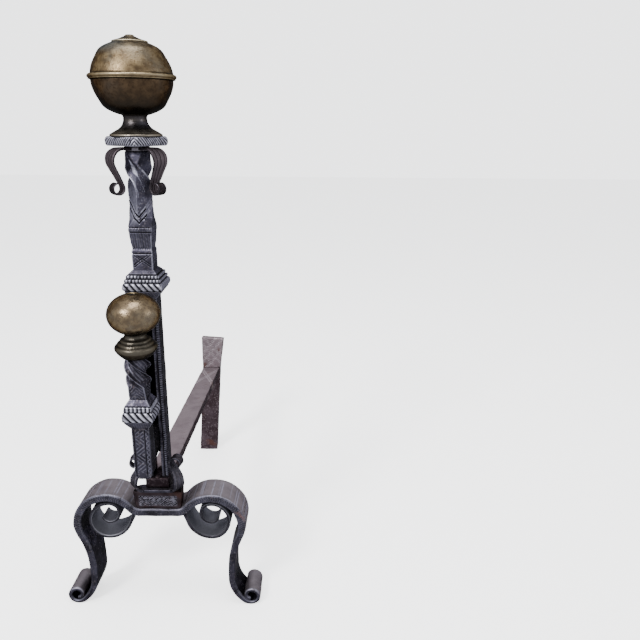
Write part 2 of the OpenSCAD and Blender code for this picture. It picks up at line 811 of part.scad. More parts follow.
module ball_neck() {
    foot_r = neck_foot_d / 2;
    throat = neck_d / 2;
    ledge_r = throat + neck_ledge;
    ledge_z = 0.5 * neck_h;
    sweep = ledge_z - neck_foot_h;
    cove = [for (a = [0:10:90])
        [foot_r - (foot_r - ledge_r) * sin(a), ledge_z - sweep * cos(a)]];
    color(dark_brass) at_post() translate([0, 0, plate_top]) turned(concat(
        [[foot_r, 0]], cove, [[ledge_r, ledge_z + 1.2], [throat + 0.4, ledge_z + 2],
        [throat, ledge_z + 5], [throat, neck_h - 3], [ball_seat_r, neck_h]]),
        post_tenon_d + 2 * turning_fit);
}

// The two halves of the great ball meet under its rolled rim.
ball_in_r = ball_r - ball_wall;
ball_in_half_h = ball_half_h - ball_wall;
seam_z = rim_lift - rim_r;
function on_oval(h, z) = asin(z / h);

module ball_lower() {
    seam = on_oval(ball_half_h, seam_z);
    seat = -acos(ball_seat_r / ball_r);
    tuck_r = ball_in_r - 2 * fixed_fit;
    color(brass) at_post() translate([0, 0, ball_mid]) difference() {
        rotate_extrude() union() {
            polygon(concat(
                [[0, -oval_rise(ball_seat_r, ball_r, ball_half_h)]],
                oval_arc(ball_r, ball_half_h, seat, seam, 20),
                [[tuck_r, seam_z], [tuck_r, seam_z + tuck_h],
                 [tuck_r - ball_wall, seam_z + tuck_h]],
                oval_arc(ball_in_r - ball_wall, ball_in_half_h, -2, -70, 16),
                [[0, -oval_rise(ball_seat_r, ball_r, ball_half_h) + 2 * ball_wall]]));
        }
        translate([0, 0, -ball_h]) cylinder(ball_h, d = post_tenon_d + 2 * turning_fit);
    }
}

module ball_upper() {
    seam = on_oval(ball_half_h, seam_z);
    cut = acos(cap_d / ball_d);
    cut_z = oval_rise(cap_d / 2, ball_r, ball_half_h);
    color(brass) at_post() translate([0, 0, ball_mid]) difference() {
        rotate_extrude() union() {
            polygon(concat(
                oval_arc(ball_r, ball_half_h, seam, cut, 20), [[0, cut_z]],
                [[0, cut_z - 2 * ball_wall]], oval_arc(ball_in_r, ball_in_half_h, 66, 0, 16),
                [[ball_in_r, seam_z]]));
            translate([ball_r, seam_z + rim_r]) intersection() {
                circle(rim_r);
                translate([-ball_wall / 2, -rim_r]) square(2 * rim_r);
            }
        }
        cylinder(ball_h, d = post_tenon_d + 2 * turning_fit);
    }
}

module finial_cap() {
    r = cap_d / 2;
    color(dark_brass) at_post() translate([0, 0, ball_cut]) difference() {
        rotate_extrude() polygon([
            [0, 0], [r, 0], [0.96 * r, 0.12 * cap_h], [0.8 * r, 0.28 * cap_h],
            [0.78 * r, 0.36 * cap_h], [0.5 * r, 0.66 * cap_h], [0.36 * r, 0.72 * cap_h],
            [0.3 * r, 0.95 * cap_h], [0.2 * r, cap_h], [0, cap_h]
        ]);
        translate([0, 0, -1]) cylinder(cap_h / 2 + 1 + fixed_fit, d = post_tenon_d + 2 * fixed_fit);
    }
}

leg_bar();
left_inner_scroll();
right_inner_scroll();
base_block();
lyre_scroll();
log_bar();
rear_upright();
base_rivets();
tall_post();
post_collar();
baluster_bracket();
baluster_post();
baluster_collar();
saucer();
small_ball();
leaf_bracket();
top_plate();
ball_neck();
ball_lower();
ball_upper();
finial_cap();
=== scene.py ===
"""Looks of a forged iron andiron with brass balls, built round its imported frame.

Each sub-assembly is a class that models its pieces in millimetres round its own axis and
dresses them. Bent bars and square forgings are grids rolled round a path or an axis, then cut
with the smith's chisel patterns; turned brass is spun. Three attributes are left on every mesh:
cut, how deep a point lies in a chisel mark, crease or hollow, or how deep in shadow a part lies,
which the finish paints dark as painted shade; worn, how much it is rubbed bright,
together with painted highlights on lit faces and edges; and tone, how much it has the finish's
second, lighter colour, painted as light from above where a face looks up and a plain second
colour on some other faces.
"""

import functools
import itertools
import logging
import math
from collections.abc import Callable
from dataclasses import dataclass
from enum import Enum

import bmesh
import bpy
import numpy as np
from mathutils import Matrix, Vector

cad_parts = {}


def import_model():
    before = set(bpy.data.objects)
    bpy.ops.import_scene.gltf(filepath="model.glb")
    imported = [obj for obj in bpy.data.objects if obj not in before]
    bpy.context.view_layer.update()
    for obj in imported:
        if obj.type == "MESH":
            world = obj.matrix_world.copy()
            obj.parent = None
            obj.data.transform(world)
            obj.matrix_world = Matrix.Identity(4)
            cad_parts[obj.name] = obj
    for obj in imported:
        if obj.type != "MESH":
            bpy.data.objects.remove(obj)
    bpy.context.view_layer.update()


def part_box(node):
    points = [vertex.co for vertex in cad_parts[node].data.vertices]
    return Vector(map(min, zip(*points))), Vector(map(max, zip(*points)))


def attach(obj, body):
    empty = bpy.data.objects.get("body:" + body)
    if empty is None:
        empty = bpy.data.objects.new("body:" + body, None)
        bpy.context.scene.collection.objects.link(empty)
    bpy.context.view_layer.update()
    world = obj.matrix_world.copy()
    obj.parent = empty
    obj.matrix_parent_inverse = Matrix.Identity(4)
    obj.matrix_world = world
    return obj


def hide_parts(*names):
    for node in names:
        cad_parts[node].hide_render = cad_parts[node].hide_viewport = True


log = logging.getLogger("andiron")
MM = 0.001
MARKS = ("cut", "worn", "tone")
Array = np.ndarray
Mesh = bmesh.types.BMesh
Material = bpy.types.Material
Tree = bpy.types.NodeTree
Socket = bpy.types.NodeSocket


class Face(Enum):
    """The side of a square bar that a point lies on, as seen from the front."""

    FRONT = 0
    RIGHT = 1
    BACK = 2
    LEFT = 3


class Body(Enum):
    """The CAD's bodies: what stands still, and the four swivels."""

    FRAME = "standing_frame"
    LEAVES = "leaf_swivel"
    PLATE = "plate_swivel"
    GREAT_BALL = "great_ball_swivel"
    SMALL_BALL = "small_ball_swivel"


class Slot(Enum):
    """The record's material slots."""

    IRON = "wrought_iron"
    CHISELLED = "chiselled_iron"
    RUSTY = "rusty_iron"
    BRASS = "antique_brass"
    DARK_BRASS = "dark_brass"


# ---- patterns, as depths in millimetres or shares from 0 to 1 ----


def lattice_noise(points: Array, cell: float, seed: int) -> Array:
    """Smooth random bumps in space.

    Args:
        points: places, one row each, in millimetres.
        cell: size of a bump in millimetres.
        seed: picks another set of bumps.

    Returns:
        One value from -1 to 1 for each point.
    """
    grid = points / cell
    base = np.floor(grid).astype(np.int64)
    part = grid - base
    part = part * part * (3 - 2 * part)
    total = np.zeros(len(points))
    for corner in itertools.product((0, 1), repeat=3):
        offset = np.array(corner)
        weight = np.prod(np.where(offset, part, 1 - part), axis=1)
        key = (base + offset) @ np.array([73856093, 19349663, 83492791]) + seed * 1013904223
        key = ((key ^ (key >> 13)) * 1274126177) & 0xFFFFFFFF
        total += weight * (((key ^ (key >> 16)) & 0xFFFF) / 32767.5 - 1)
    return total


def groove(offset: Array, half_width: float) -> Array:
    """Round-bottomed cut: 1 at its middle, 0 from half_width outwards."""
    return np.clip(1 - (offset / half_width) ** 2, 0, 1)


def stripes(phase: Array, share: float) -> Array:
    """Cuts at each whole number of phase, each taking up that share of the pitch."""
    return groove(phase - np.round(phase), share / 2)


def strands(phase: Array) -> Array:
    """Cuts between round strands, one strand to each whole number of phase."""
    return 1 - np.abs(np.sin(math.pi * phase)) ** 0.8


def zigzag(value: Array, pitch: float) -> Array:
    """A wave of straight slopes from -1 to 1."""
    return 4 * np.abs(value / pitch - np.round(value / pitch)) - 1


def within(value: Array, low: float, high: float, soft: float = 0.4) -> Array:
    """1 between low and high, falling to 0 over soft millimetres outside them."""
    return np.clip((value - low) / soft + 1, 0, 1) * np.clip((high - value) / soft + 1, 0, 1)


def facing(lean: Array, gain: float = 2.0, less: float = 1.0) -> Array:
    """1 where a surface looks a certain way, from how far its normal leans that way."""
    return np.clip(lean * gain - less, 0, 1)


def corners(normals: Array) -> Array:
    """1 on the arrises of a squared bar, where its normals look between its faces."""
    return np.clip(1.7 - 1.9 * np.max(np.abs(normals), axis=1), 0, 1)


def deepest(*cuts: Array) -> Array:
    """The deepest of several cuts at each point."""
    return np.maximum.reduce(cuts)


def rings(z: Array, levels: tuple[float, ...], half_width: float) -> Array:
    """Cuts right round a bar at each of these heights."""
    return deepest(*(groove(z - level, half_width) for level in levels))


def dents(points: Array, seed: int, *waves: tuple[float, float]) -> Array:
    """Bumps of several sizes laid over each other.

    Args:
        points: places, one row each, in millimetres.
        seed: picks the largest bumps, and the next numbers pick the finer ones.
        waves: each size's [height, cell] in millimetres.

    Returns:
        How far each point stands out, in millimetres.
    """
    return sum(height * lattice_noise(points, cell, seed + k) for k, (height, cell) in enumerate(waves))


def seat_of(radius: float, half_height: float, seat_radius: float) -> tuple[float, float]:
    """How high an oval's middle stands over its flat seat, and the seat's angle in degrees."""
    share = seat_radius / radius
    return half_height * math.sqrt(1 - share**2), -math.degrees(math.acos(share))


def raised(outline: list[tuple], height: float, out: float = 0.0) -> list[tuple]:
    """Moves an outline's points up and out."""
    return [(r + out, height + h, *marks) for r, h, *marks in outline]


def oval(radius: float, half_height: float, start: float, end: float, steps: int,
         full: float = 0.0) -> list[tuple]:
    """Points along an upright oval.

    Args:
        radius: its half width.
        half_height: its half height.
        start: angle of the first point in degrees, from -90 at the foot to 90 at the top.
        end: angle of the last point.
        steps: number of stretches between them.
        full: how far the shoulders stand out from a true oval.

    Returns:
        Each point's [radius, height].
    """
    angles = [math.radians(start + (end - start) * k / steps) for k in range(steps + 1)]
    bulge = [full * math.exp(-(((abs(math.sin(a)) - 0.78) / 0.17) ** 2)) for a in angles]
    return [(radius * math.cos(a) + out, half_height * math.sin(a)) for a, out in zip(angles, bulge)]


# ---- finishes ----


def linear(code: str) -> tuple[float, float, float, float]:
    """Linear colour of an sRGB hex value such as 8a7f66."""
    parts = [int(code[k : k + 2], 16) / 255 for k in (0, 2, 4)]
    return (*[c / 12.92 if c <= 0.04045 else ((c + 0.055) / 1.055) ** 2.4 for c in parts], 1.0)


class Step(Enum):
    """What the finishes are made of: each step's node type, its settings and the output in use."""

    PLACE = ("ShaderNodeTexCoord", {}, "Object")
    ASIDE = ("ShaderNodeSeparateXYZ", {}, "X")
    HEIGHT = ("ShaderNodeSeparateXYZ", {}, "Z")
    CUT = ("ShaderNodeAttribute", {"attribute_name": "cut"}, "Fac")
    WORN = ("ShaderNodeAttribute", {"attribute_name": "worn"}, "Fac")
    TONE = ("ShaderNodeAttribute", {"attribute_name": "tone"}, "Fac")
    NOISE = ("ShaderNodeTexNoise", {}, 0)
    RANGE = ("ShaderNodeMapRange", {}, 0)
    SOFT_RANGE = ("ShaderNodeMapRange", {"interpolation_type": "SMOOTHSTEP"}, 0)
    TIMES = ("ShaderNodeMath", {"operation": "MULTIPLY"}, 0)
    TIMES_PLUS = ("ShaderNodeMath", {"operation": "MULTIPLY_ADD"}, 0)
    LARGER = ("ShaderNodeMath", {"operation": "MAXIMUM"}, 0)
    BLEND = ("ShaderNodeMix", {"data_type": "RGBA"}, 2)
    BUMP = ("ShaderNodeBump", {}, 0)


def feed(tree: Tree, socket: Socket, value: Socket | float | tuple) -> None:
    """Links another node's output to a socket, or sets its value.

    Args:
        tree: the material's node tree.
        socket: the input that is set.
        value: another node's output, or a number or colour.
    """
    if isinstance(value, bpy.types.NodeSocket):
        tree.links.new(value, socket)
    else:
        socket.default_value = value


def add_node(tree: Tree, step: Step, **inputs: Socket | float | tuple) -> Socket:
    """Adds the node for one step, with its settings and links.

    Args:
        tree: the material's node tree.
        step: what the node does.
        inputs: values or other nodes' outputs, by socket name with _ for a space, or by
            number as in_0.

    Returns:
        The node's output in use.
    """
    kind, settings, output = step.value
    node = tree.nodes.new(kind)
    for name, value in settings.items():
        setattr(node, name, value)
    for name, value in inputs.items():
        key = int(name[3:]) if name.startswith("in_") else name.replace("_", " ")
        feed(tree, node.inputs[key], value)
    return node.outputs[output]


class Finish:
    """What every finish shares: a material made of steps, with patterns on Object coordinates."""

    name: str

    def start(self) -> tuple[Callable[..., Socket], Socket]:
        """Makes the material and returns the way to add a step, and the Object coordinates."""
        self.material = bpy.data.materials.new(self.name)
        self.material.use_nodes = True
        add = functools.partial(add_node, self.material.node_tree)
        return add, add(Step.PLACE)

    def wire(self, **inputs: Socket | float | tuple) -> Material:
        """Sets the shader's inputs, by name with _ for a space, and returns the material."""
        tree = self.material.node_tree
        for name, value in inputs.items():
            feed(tree, tree.nodes["Principled BSDF"].inputs[name.replace("_", " ")], value)
        return self.material

    def coats(self, base: Socket | tuple, layers: list[tuple[Socket, str]]) -> Socket:
        """Lays colours over a base one by one, each by its share and its sRGB hex value.

        Args:
            base: the colour underneath.
            layers: each coat's share and hex value, the lowest first.

        Returns:
            The colour on top.
        """
        for share, code in layers:
            base = add_node(self.material.node_tree, Step.BLEND, in_0=share, in_6=base, in_7=linear(code))
        return base


@dataclass
class ForgedIron(Finish):
    """Wrought iron, hammered and chiselled hot, then waxed and handled for a long time.

    A blue-violet grey scale with its cuts painted black as shade, bright edges that are rubbed and
    carry painted highlights, a lighter tone painted on faces that look up, and some brown rust.
    """

    name: str
    scale_hex: str = "211f25"
    tone_hex: str = "7a7377"
    pale_hex: str = "393741"
    bright_hex: str = "9c9bac"
    cut_shade_hex: str = "060507"
    edge_hex: str = "5c5a62"
    rust_hex: str = "5a3c33"
    rust_from: float = 0.66
    rough_low: float = 0.34
    rough_high: float = 0.62
    patch_mm: float = 14.0
    hammer_mm: float = 4.5
    grit_mm: float = 1.1
    speck_mm: float = 2.2
    rust_mm: float = 22.0

    def build(self) -> Material:
        """Returns the material."""
        add, at = self.start()
        cut, worn, tone = add(Step.CUT), add(Step.WORN), add(Step.TONE)
        lumps = ((self.patch_mm, 4), (self.hammer_mm, 2), (self.grit_mm, 4), (self.speck_mm, 5),
                 (self.rust_mm, 5))
        patches, hammer, grit, specks, rust = (
            add(Step.NOISE, Vector=at, Scale=1 / (size * MM), Detail=detail) for size, detail in lumps
        )
        specks = add(Step.SOFT_RANGE, Value=specks, From_Min=0.52, From_Max=0.7)
        rust = add(Step.SOFT_RANGE, Value=rust, From_Min=self.rust_from, From_Max=self.rust_from + 0.12)
        shade = add(Step.RANGE, Value=patches, From_Min=0.3, From_Max=0.6, To_Min=0.75)
        rub_and_highlight = add(Step.SOFT_RANGE, Value=hammer, From_Min=0.22, From_Max=0.5)
        # coats: the tone is painted light on faces that look up, the bright coat is rub together with painted
        # highlights, and the black coat is painted shade in cuts and in shadowed parts
        base = self.coats(linear(self.scale_hex), [
            (add(Step.SOFT_RANGE, Value=patches, From_Min=0.38, From_Max=0.66), self.pale_hex),
            (add(Step.TIMES, in_0=tone, in_1=shade), self.tone_hex),
            (add(Step.TIMES, in_0=specks, in_1=0.38), self.tone_hex),
            (add(Step.TIMES, in_0=rust, in_1=0.85), self.rust_hex),
            (add(Step.TIMES, in_0=worn, in_1=rub_and_highlight), self.bright_hex),
            (add(Step.SOFT_RANGE, Value=cut, From_Min=0.12, From_Max=0.8), self.cut_shade_hex),
        ])
        rough = add(Step.RANGE, Value=grit, From_Min=0.3, From_Max=0.7, To_Min=self.rough_low,
                    To_Max=self.rough_high)
        hollows = add(Step.BUMP, Strength=0.55, Distance=0.5 * MM, Height=hammer)
        return self.wire(
            Base_Color=base,
            Metallic=add(Step.RANGE, Value=rust, To_Min=0.92, To_Max=0.35),
            Specular_Tint=linear(self.edge_hex),
            Roughness=add(Step.LARGER, in_0=rough, in_1=add(Step.TIMES, in_0=cut, in_1=0.8)),
            Normal=add(Step.BUMP, Strength=0.5, Distance=0.16 * MM, Height=grit, Normal=hollows),
        )


@dataclass
class AgedBrass(Finish):
    """Cast and spun brass, never polished: warm brown-gold above, darker below as painted shade and a painted
    reflection of a dark room, with some tarnish.
    """

    name: str
    gold_hex: str = "8d7a55"
    brown_hex: str = "5f4c35"
    grey_hex: str = "77736a"
    shade_and_tarnish_hex: str = "1b1813"
    bright_hex: str = "cdbb8e"
    edge_hex: str = "4a4036"
    cool_reflection_hex: str = "656f73"
    reflection_from_mm: float = 9000.0  # above the whole object, so there is none unless it is set
    reflection_fade_mm: float = 12.0
    shade_and_tarnish_low_mm: float = 0.0
    shade_and_tarnish_high_mm: float = 1.0
    shade_and_tarnish_wave_mm: float = 8.0
    rough_low: float = 0.24
    rough_high: float = 0.46
    mottle_mm: float = 6.0
    cloud_mm: float = 26.0
    spot_mm: float = 2.2

    def build(self) -> Material:
        """Returns the material."""
        add, at = self.start()
        cut, worn, height = add(Step.CUT), add(Step.WORN), add(Step.HEIGHT, Vector=at)
        lumps = ((self.mottle_mm, 6), (self.cloud_mm, 3), (self.spot_mm, 6))
        mottle, clouds, spots = (
            add(Step.NOISE, Vector=at, Scale=1 / (size * MM), Detail=detail) for size, detail in lumps
        )
        spots = add(Step.SOFT_RANGE, Value=spots, From_Min=0.5, From_Max=0.66)
        clouds = add(Step.SOFT_RANGE, Value=clouds, From_Min=0.45, From_Max=0.75)
        # a painted cool reflection, high up on the left, the side that faces the window light
        high = add(Step.SOFT_RANGE, Value=height, From_Min=self.reflection_from_mm * MM,
                   From_Max=(self.reflection_from_mm + self.reflection_fade_mm) * MM)
        left = add(Step.RANGE, Value=add(Step.ASIDE, Vector=at), From_Min=-24 * MM, From_Max=4 * MM,
                   To_Min=0.9, To_Max=0.12)
        base = self.coats(linear(self.brown_hex), [
            (add(Step.SOFT_RANGE, Value=mottle, From_Min=0.25, From_Max=0.75), self.gold_hex),
            (add(Step.TIMES, in_0=clouds, in_1=0.6), self.grey_hex),
            (add(Step.TIMES, in_0=spots, in_1=0.75), self.brown_hex),
            (add(Step.TIMES, in_0=high, in_1=left), self.cool_reflection_hex),
        ])
        # darker towards the foot: painted shade and a painted dark reflection, with some tarnish; the creases
        # get the same dark colour as painted shade
        wavy = add(Step.TIMES_PLUS, in_0=mottle, in_1=self.shade_and_tarnish_wave_mm * MM, in_2=height)
        middle = self.shade_and_tarnish_wave_mm / 2
        clear = add(Step.SOFT_RANGE, Value=wavy, From_Min=(self.shade_and_tarnish_low_mm + middle) * MM,
                    From_Max=(self.shade_and_tarnish_high_mm + middle) * MM)
        base = add(Step.BLEND, in_0=clear, in_6=linear(self.shade_and_tarnish_hex), in_7=base)
        base = self.coats(base, [
            (add(Step.TIMES, in_0=worn, in_1=0.8), self.bright_hex),
            (cut, self.shade_and_tarnish_hex),
        ])
        pits = add(Step.BUMP, Strength=0.35, Distance=0.2 * MM, Height=spots)
        return self.wire(
            Base_Color=base,
            Metallic=0.95,
            Specular_Tint=linear(self.edge_hex),
            Roughness=add(Step.RANGE, Value=mottle, From_Min=0.3, From_Max=0.7, To_Min=self.rough_low,
                          To_Max=self.rough_high),
            Normal=add(Step.BUMP, Strength=0.3, Distance=0.3 * MM, Height=mottle, Normal=pits),
        )


@dataclass
class StudioPaper(Finish):
    """Matt white paper floor, with a trace of tooth so that it isn't a dead flat tone."""

    name: str = "white studio paper"
    paper_hex: str = "f4f4f4"
    shade_hex: str = "efefef"
    tooth_mm: float = 40.0
    glow: float = 1.8

    def build(self) -> Material:
        """Returns the material."""
        add, at = self.start()
        tooth = add(Step.NOISE, Vector=at, Scale=1 / (self.tooth_mm * MM), Detail=2)
        return self.wire(Base_Color=self.coats(linear(self.paper_hex), [(tooth, self.shade_hex)]),
                         Roughness=0.9, Emission_Color=linear(self.paper_hex), Emission_Strength=self.glow)


# ---- mesh making ----


def add_object(name: str, data: bpy.types.ID) -> bpy.types.Object:
    """Adds an object with this data to the scene.

    Args:
        name: the name it gets.
        data: what it shows, such as a mesh.

    Returns:
        The new object.
    """
    new = bpy.data.objects.new(name, data)
    bpy.context.scene.collection.objects.link(new)
    return new


def settle(bm: Mesh, name: str) -> bpy.types.Mesh:
    """Turns an edited mesh into mesh data and frees it.

    Args:
        bm: the edited mesh.
        name: the name it gets.

    Returns:
        The mesh data.
    """
    mesh = bpy.data.meshes.new(name)
    bm.to_mesh(mesh)
    bm.free()
    return mesh


def smooth(bm: Mesh) -> None:
    """Shades every face smooth."""
    for face in bm.faces:
        face.smooth = True


@dataclass
class Carving:
    """Where a mesh's points go, with what the finish reads there."""

    points: Array
    cut: Array
    worn: Array
    tone: Array | None = None


class Workshop:
    """The ways to make a mesh: rolled from a grid, spun, or cut again from the CAD's own."""

    @staticmethod
    def rolled(around: int, rows: int, place: Callable[[Array, Array], Carving]) -> Mesh:
        """Rolls a grid into a closed bar.

        Args:
            around: points round the bar.
            rows: points along it.
            place: gives the carving for arrays of the column and the row of each point.

        Returns:
            The mesh, with its ends closed.
        """
        bm = bmesh.new()
        bmesh.ops.create_grid(bm, x_segments=around, y_segments=rows - 1, size=0.5)
        flat = np.array([v.co for v in bm.verts])
        flat = (flat - flat.min(axis=0)) / np.maximum(np.ptp(flat, axis=0), 1e-9)
        column = np.rint(flat[:, 0] * around).astype(int) % around
        row = np.rint(flat[:, 1] * (rows - 1)).astype(int)
        write_carving(bm, place(column, row))
        bmesh.ops.remove_doubles(bm, verts=bm.verts, dist=1e-4)
        smooth(bm)
        ends = bmesh.ops.holes_fill(bm, edges=bm.edges, sides=0)["faces"]
        for face in ends:
            face.smooth = False
            for edge in face.edges:
                edge.smooth = False
        return bm

    @staticmethod
    def spun(outline: list[tuple], steps: int = 112, dent: float = 0.12, seed: int = 1) -> Mesh:
        """Spins an outline of [radius, height, cut, worn] round the upright axis; cut marks creases, seams
        and hollows, which the finish paints dark as painted shade.

        A point may leave out its last values where they are 0.

        Args:
            outline: its points from the foot up, starting and ending on the axis.
            steps: points round the axis.
            dent: depth of the dents of age in millimetres.
            seed: picks the dents.

        Returns:
            The closed, smooth mesh.
        """
        bm = bmesh.new()
        layers = [bm.verts.layers.float.new(n) for n in MARKS]
        chain = []
        for radius, height, *marks in outline:
            vert = bm.verts.new((0, -radius, height))
            for layer, value in zip(layers, marks):
                vert[layer] = value
            chain.append(vert)
        edges = [bm.edges.new(pair) for pair in zip(chain, chain[1:])]
        bmesh.ops.spin(bm, geom=chain + edges, cent=(0, 0, 0), axis=(0, 0, 1), angle=2 * math.pi,
                       steps=steps, use_merge=True)
        bmesh.ops.remove_doubles(bm, verts=bm.verts, dist=1e-4)
        at = np.array([v.co for v in bm.verts])
        push = dent * dents(at, seed, (1, 17), (0.4, 6))
        for vert, out in zip(bm.verts, push):
            reach = Vector((vert.co.x, vert.co.y, 0))
            if reach.length > 1:
                vert.co += reach.normalized() * out
        smooth(bm)
        return bm

    @staticmethod
    def recut(node: str, axis: Vector, voxel: float, place: Callable[[Array, Array], Carving],
              below: float | None = None, soften: int = 0) -> Mesh:
        """Copies a CAD node as a fine even mesh and carves it.

        Args:
            node: the CAD node.
            axis: the origin that the pattern is measured from, in metres.
            voxel: size of the mesh's squares in millimetres.
            place: gives the carving for arrays of the points and their normals.
            below: keeps only what lies below this height in millimetres.
            soften: how many times the fine mesh is smoothed before it is carved.

        Returns:
            The carved mesh.
        """
        bm = bmesh.new()
        bm.from_mesh(bpy.data.objects[node].data)
        bmesh.ops.remove_doubles(bm, verts=bm.verts, dist=1e-6)
        bmesh.ops.translate(bm, vec=-axis, verts=bm.verts)
        bmesh.ops.scale(bm, vec=(1 / MM, 1 / MM, 1 / MM), verts=bm.verts)
        if below is not None:
            everything = bm.verts[:] + bm.edges[:] + bm.faces[:]
            bmesh.ops.bisect_plane(bm, geom=everything, plane_co=(0, 0, below), plane_no=(0, 0, 1),
                                   clear_outer=True)
            bmesh.ops.holes_fill(bm, edges=bm.edges, sides=0)
        mesh = settle(bm, "recut")
        holder = add_object("recut", mesh)
        modifier = holder.modifiers.new("even", "REMESH")
        modifier.mode = "VOXEL"
        modifier.voxel_size = voxel
        evaluated = holder.evaluated_get(bpy.context.evaluated_depsgraph_get())
        even = bpy.data.meshes.new_from_object(evaluated)
        bm = bmesh.new()
        bm.from_mesh(even)
        bpy.data.objects.remove(holder)
        bpy.data.meshes.remove(mesh)
        for _ in range(soften):
            bmesh.ops.smooth_vert(bm, verts=bm.verts, factor=0.5, use_axis_x=True, use_axis_y=True,
                                  use_axis_z=True)
        bm.normal_update()
        write_carving(bm, place(np.array([v.co for v in bm.verts]), np.array([v.normal for v in bm.verts])))
        bpy.data.meshes.remove(even)
        smooth(bm)
        return bm


def write_carving(bm: Mesh, carving: Carving) -> None:
    """Moves the mesh's points and stores what the finish reads.

    Args:
        bm: the edited mesh.
        carving: what is done at each point.
    """
    tone = np.zeros(len(carving.cut)) if carving.tone is None else carving.tone
    for name, values in zip(MARKS, (carving.cut, carving.worn, tone)):
        layer = bm.verts.layers.float.new(name)
        for vert, value in zip(bm.verts, np.clip(values, 0, 1).tolist()):
            vert[layer] = value
    for vert, point in zip(bm.verts, carving.points.tolist()):
        vert.co = point


# ---- square forgings ----


@dataclass(frozen=True)
class Spot:
    """Places on a bar's skin that a pattern is asked about, all in millimetres."""

    face: Array
    across: Array
    along: Array
    half: Array
    share: Array


Pattern = Callable[[Spot], Array]


def on(spot: Spot, *faces: Face) -> Array:
    """1 on these faces and 0 on the others."""
    return np.isin(spot.face, [face.value for face in faces]) * 1.0


@dataclass
class Ring:
    """The order of points round a square bar: front, right, back, left."""

    wide: int
    deep: int

    def __post_init__(self) -> None:
        """Works out each column's face and its place from -1 to 1 along it."""
        counts = (self.wide, self.deep, self.wide, self.deep)
        self.face = np.concatenate([np.full(n, k) for k, n in enumerate(counts)])
        self.share = np.concatenate([np.linspace(-1, 1, n, endpoint=False) for n in counts])
        self.total = len(self.face)

    def unit(self, column: Array) -> Array:
        """Points on the square of half width 1.

        Args:
            column: where each point lies round the bar.

        Returns:
            The points.
        """
        face, s = self.face[column], self.share[column]
        one = np.ones_like(s)
        x = np.choose(face, [s, one, -s, -one])
        y = np.choose(face, [-one, s, one, -s])
        return np.stack([x, y], axis=1)

    def across_half(self, column: Array, half: Array) -> Array:
        """Half the width of the face that each point lies on."""
        return np.where(self.face[column] % 2 == 0, half[:, 0], half[:, 1])


def round_section(flat: Array, half: Array, radius: float) -> tuple[Array, Array, Array]:
    """Rounds the arrises of a rectangle.

    Args:
        flat: points on the square of half width 1.
        half: half width and half depth at each point.
        radius: how far the arrises are rounded.

    Returns:
        The points, their outward directions, and 1 on an arris falling to 0 on a face.
    """
    raw = flat * half
    inner = np.clip(raw, -(half - radius), half - radius)
    out = raw - inner
    reach = np.linalg.norm(out, axis=1, keepdims=True)
    direction = out / np.maximum(reach, 1e-9)
    gap = np.min(np.abs(half - np.abs(raw)) + 10 * (np.abs(np.abs(flat) - 1) < 1e-6), axis=1)
    return inner + direction * radius, direction, np.clip(1 - gap / (1.6 * radius), 0, 1)


@dataclass
class SquareForging:
    """An upright bar of square section whose size, turn and chisel work change with height."""

    heights: Array
    half_width: Array
    half_depth: Array
    pattern: Pattern
    depth: float = 0.8
    arris: float = 0.7
    pitch: float = 0.7
    turn: Array | None = None
    ridge: Array | None = None
    ridge_angle: Array | None = None
    hollow: Array | None = None
    hammer: float = 0.15
    rub: float = 0.5
    shoulder: float = 0.35
    painted_highlight: Pattern | None = None
    seed: int = 3

    def mesh(self, step: float) -> Mesh:
        """Returns the carved bar with rows about step millimetres apart.

        Args:
            step: the distance between rows in millimetres.

        Returns:
            The mesh.
        """
        low, high = self.heights[0], self.heights[-1]
        rows = max(3, int((high - low) / step))
        levels = np.linspace(low, high, rows)
        largest = 2 * max(self.half_width.max(), self.half_depth.max())
        ring = Ring(int(largest / self.pitch), int(largest / self.pitch))

        def place(column: Array, row: Array) -> Carving:
            """The carving at each point of the grid.

            Args:
                column: where each point lies round the bar.
                row: where each point lies along the bar.

            Returns:
                The carving.
            """
            z = levels[row]

            def read(values: Array) -> Array:
                """The value at each point's height."""
                return np.interp(z, self.heights, values)

            half = np.stack([read(self.half_width), read(self.half_depth)], axis=1)
            point, out, edge = round_section(ring.unit(column), half, self.arris)
            share = ring.share[column]
            across_half = ring.across_half(column, half)
            spot = Spot(ring.face[column], share * across_half, z, across_half, share)
            mark = np.clip(self.pattern(spot), -1, 1)
            cut, shine = np.clip(mark, 0, 1), np.clip(-mark, 0, 1)
            sunk = np.abs(mark) * self.depth
            if self.hollow is not None:
                sunk = sunk + read(self.hollow) * (1 - share**2)
            if self.ridge is not None:
                radius = np.linalg.norm(point, axis=1)
                angle = np.arctan2(point[:, 1], point[:, 0]) - np.radians(read(self.ridge_angle))
                sharp = np.maximum(np.abs(np.cos(angle)), np.abs(np.sin(angle)))
                limit = read(self.ridge) / sharp
                held = limit < radius
                point = point * np.minimum(1, limit / np.maximum(radius, 1e-9))[:, None]
                edge = np.where(held, np.clip((0.78 - sharp) / 0.07, 0, 1), edge)
            point = point - out * sunk[:, None]
            solid = np.column_stack([point, z])
            forged = dents(solid, self.seed, (1, 9), (0.5, 3.5))
            point = point + out * (self.hammer * forged)[:, None]
            if self.turn is not None:
                angle = np.radians(read(self.turn))
                cos, sin = np.cos(angle), np.sin(angle)
                x, y = point.T
                point = np.stack([x * cos - y * sin, x * sin + y * cos], axis=1)
            worn = self.rub * edge * (1 - cut) + self.shoulder * cut_near(cut) + shine
            if self.painted_highlight is not None:
                # a painted highlight laid on the crests of the ornament and on the head's lit facets
                worn = 0.6 * worn + 0.9 * self.painted_highlight(spot) * (1 - cut) ** 5
            return Carving(np.column_stack([point, z]), cut, worn)

        return Workshop.rolled(ring.total, rows, place)


def cut_near(cut: Array) -> Array:
    """High on the shoulders of a cut, where a rub catches."""
    return np.clip(4 * cut * (1 - cut), 0, 1)


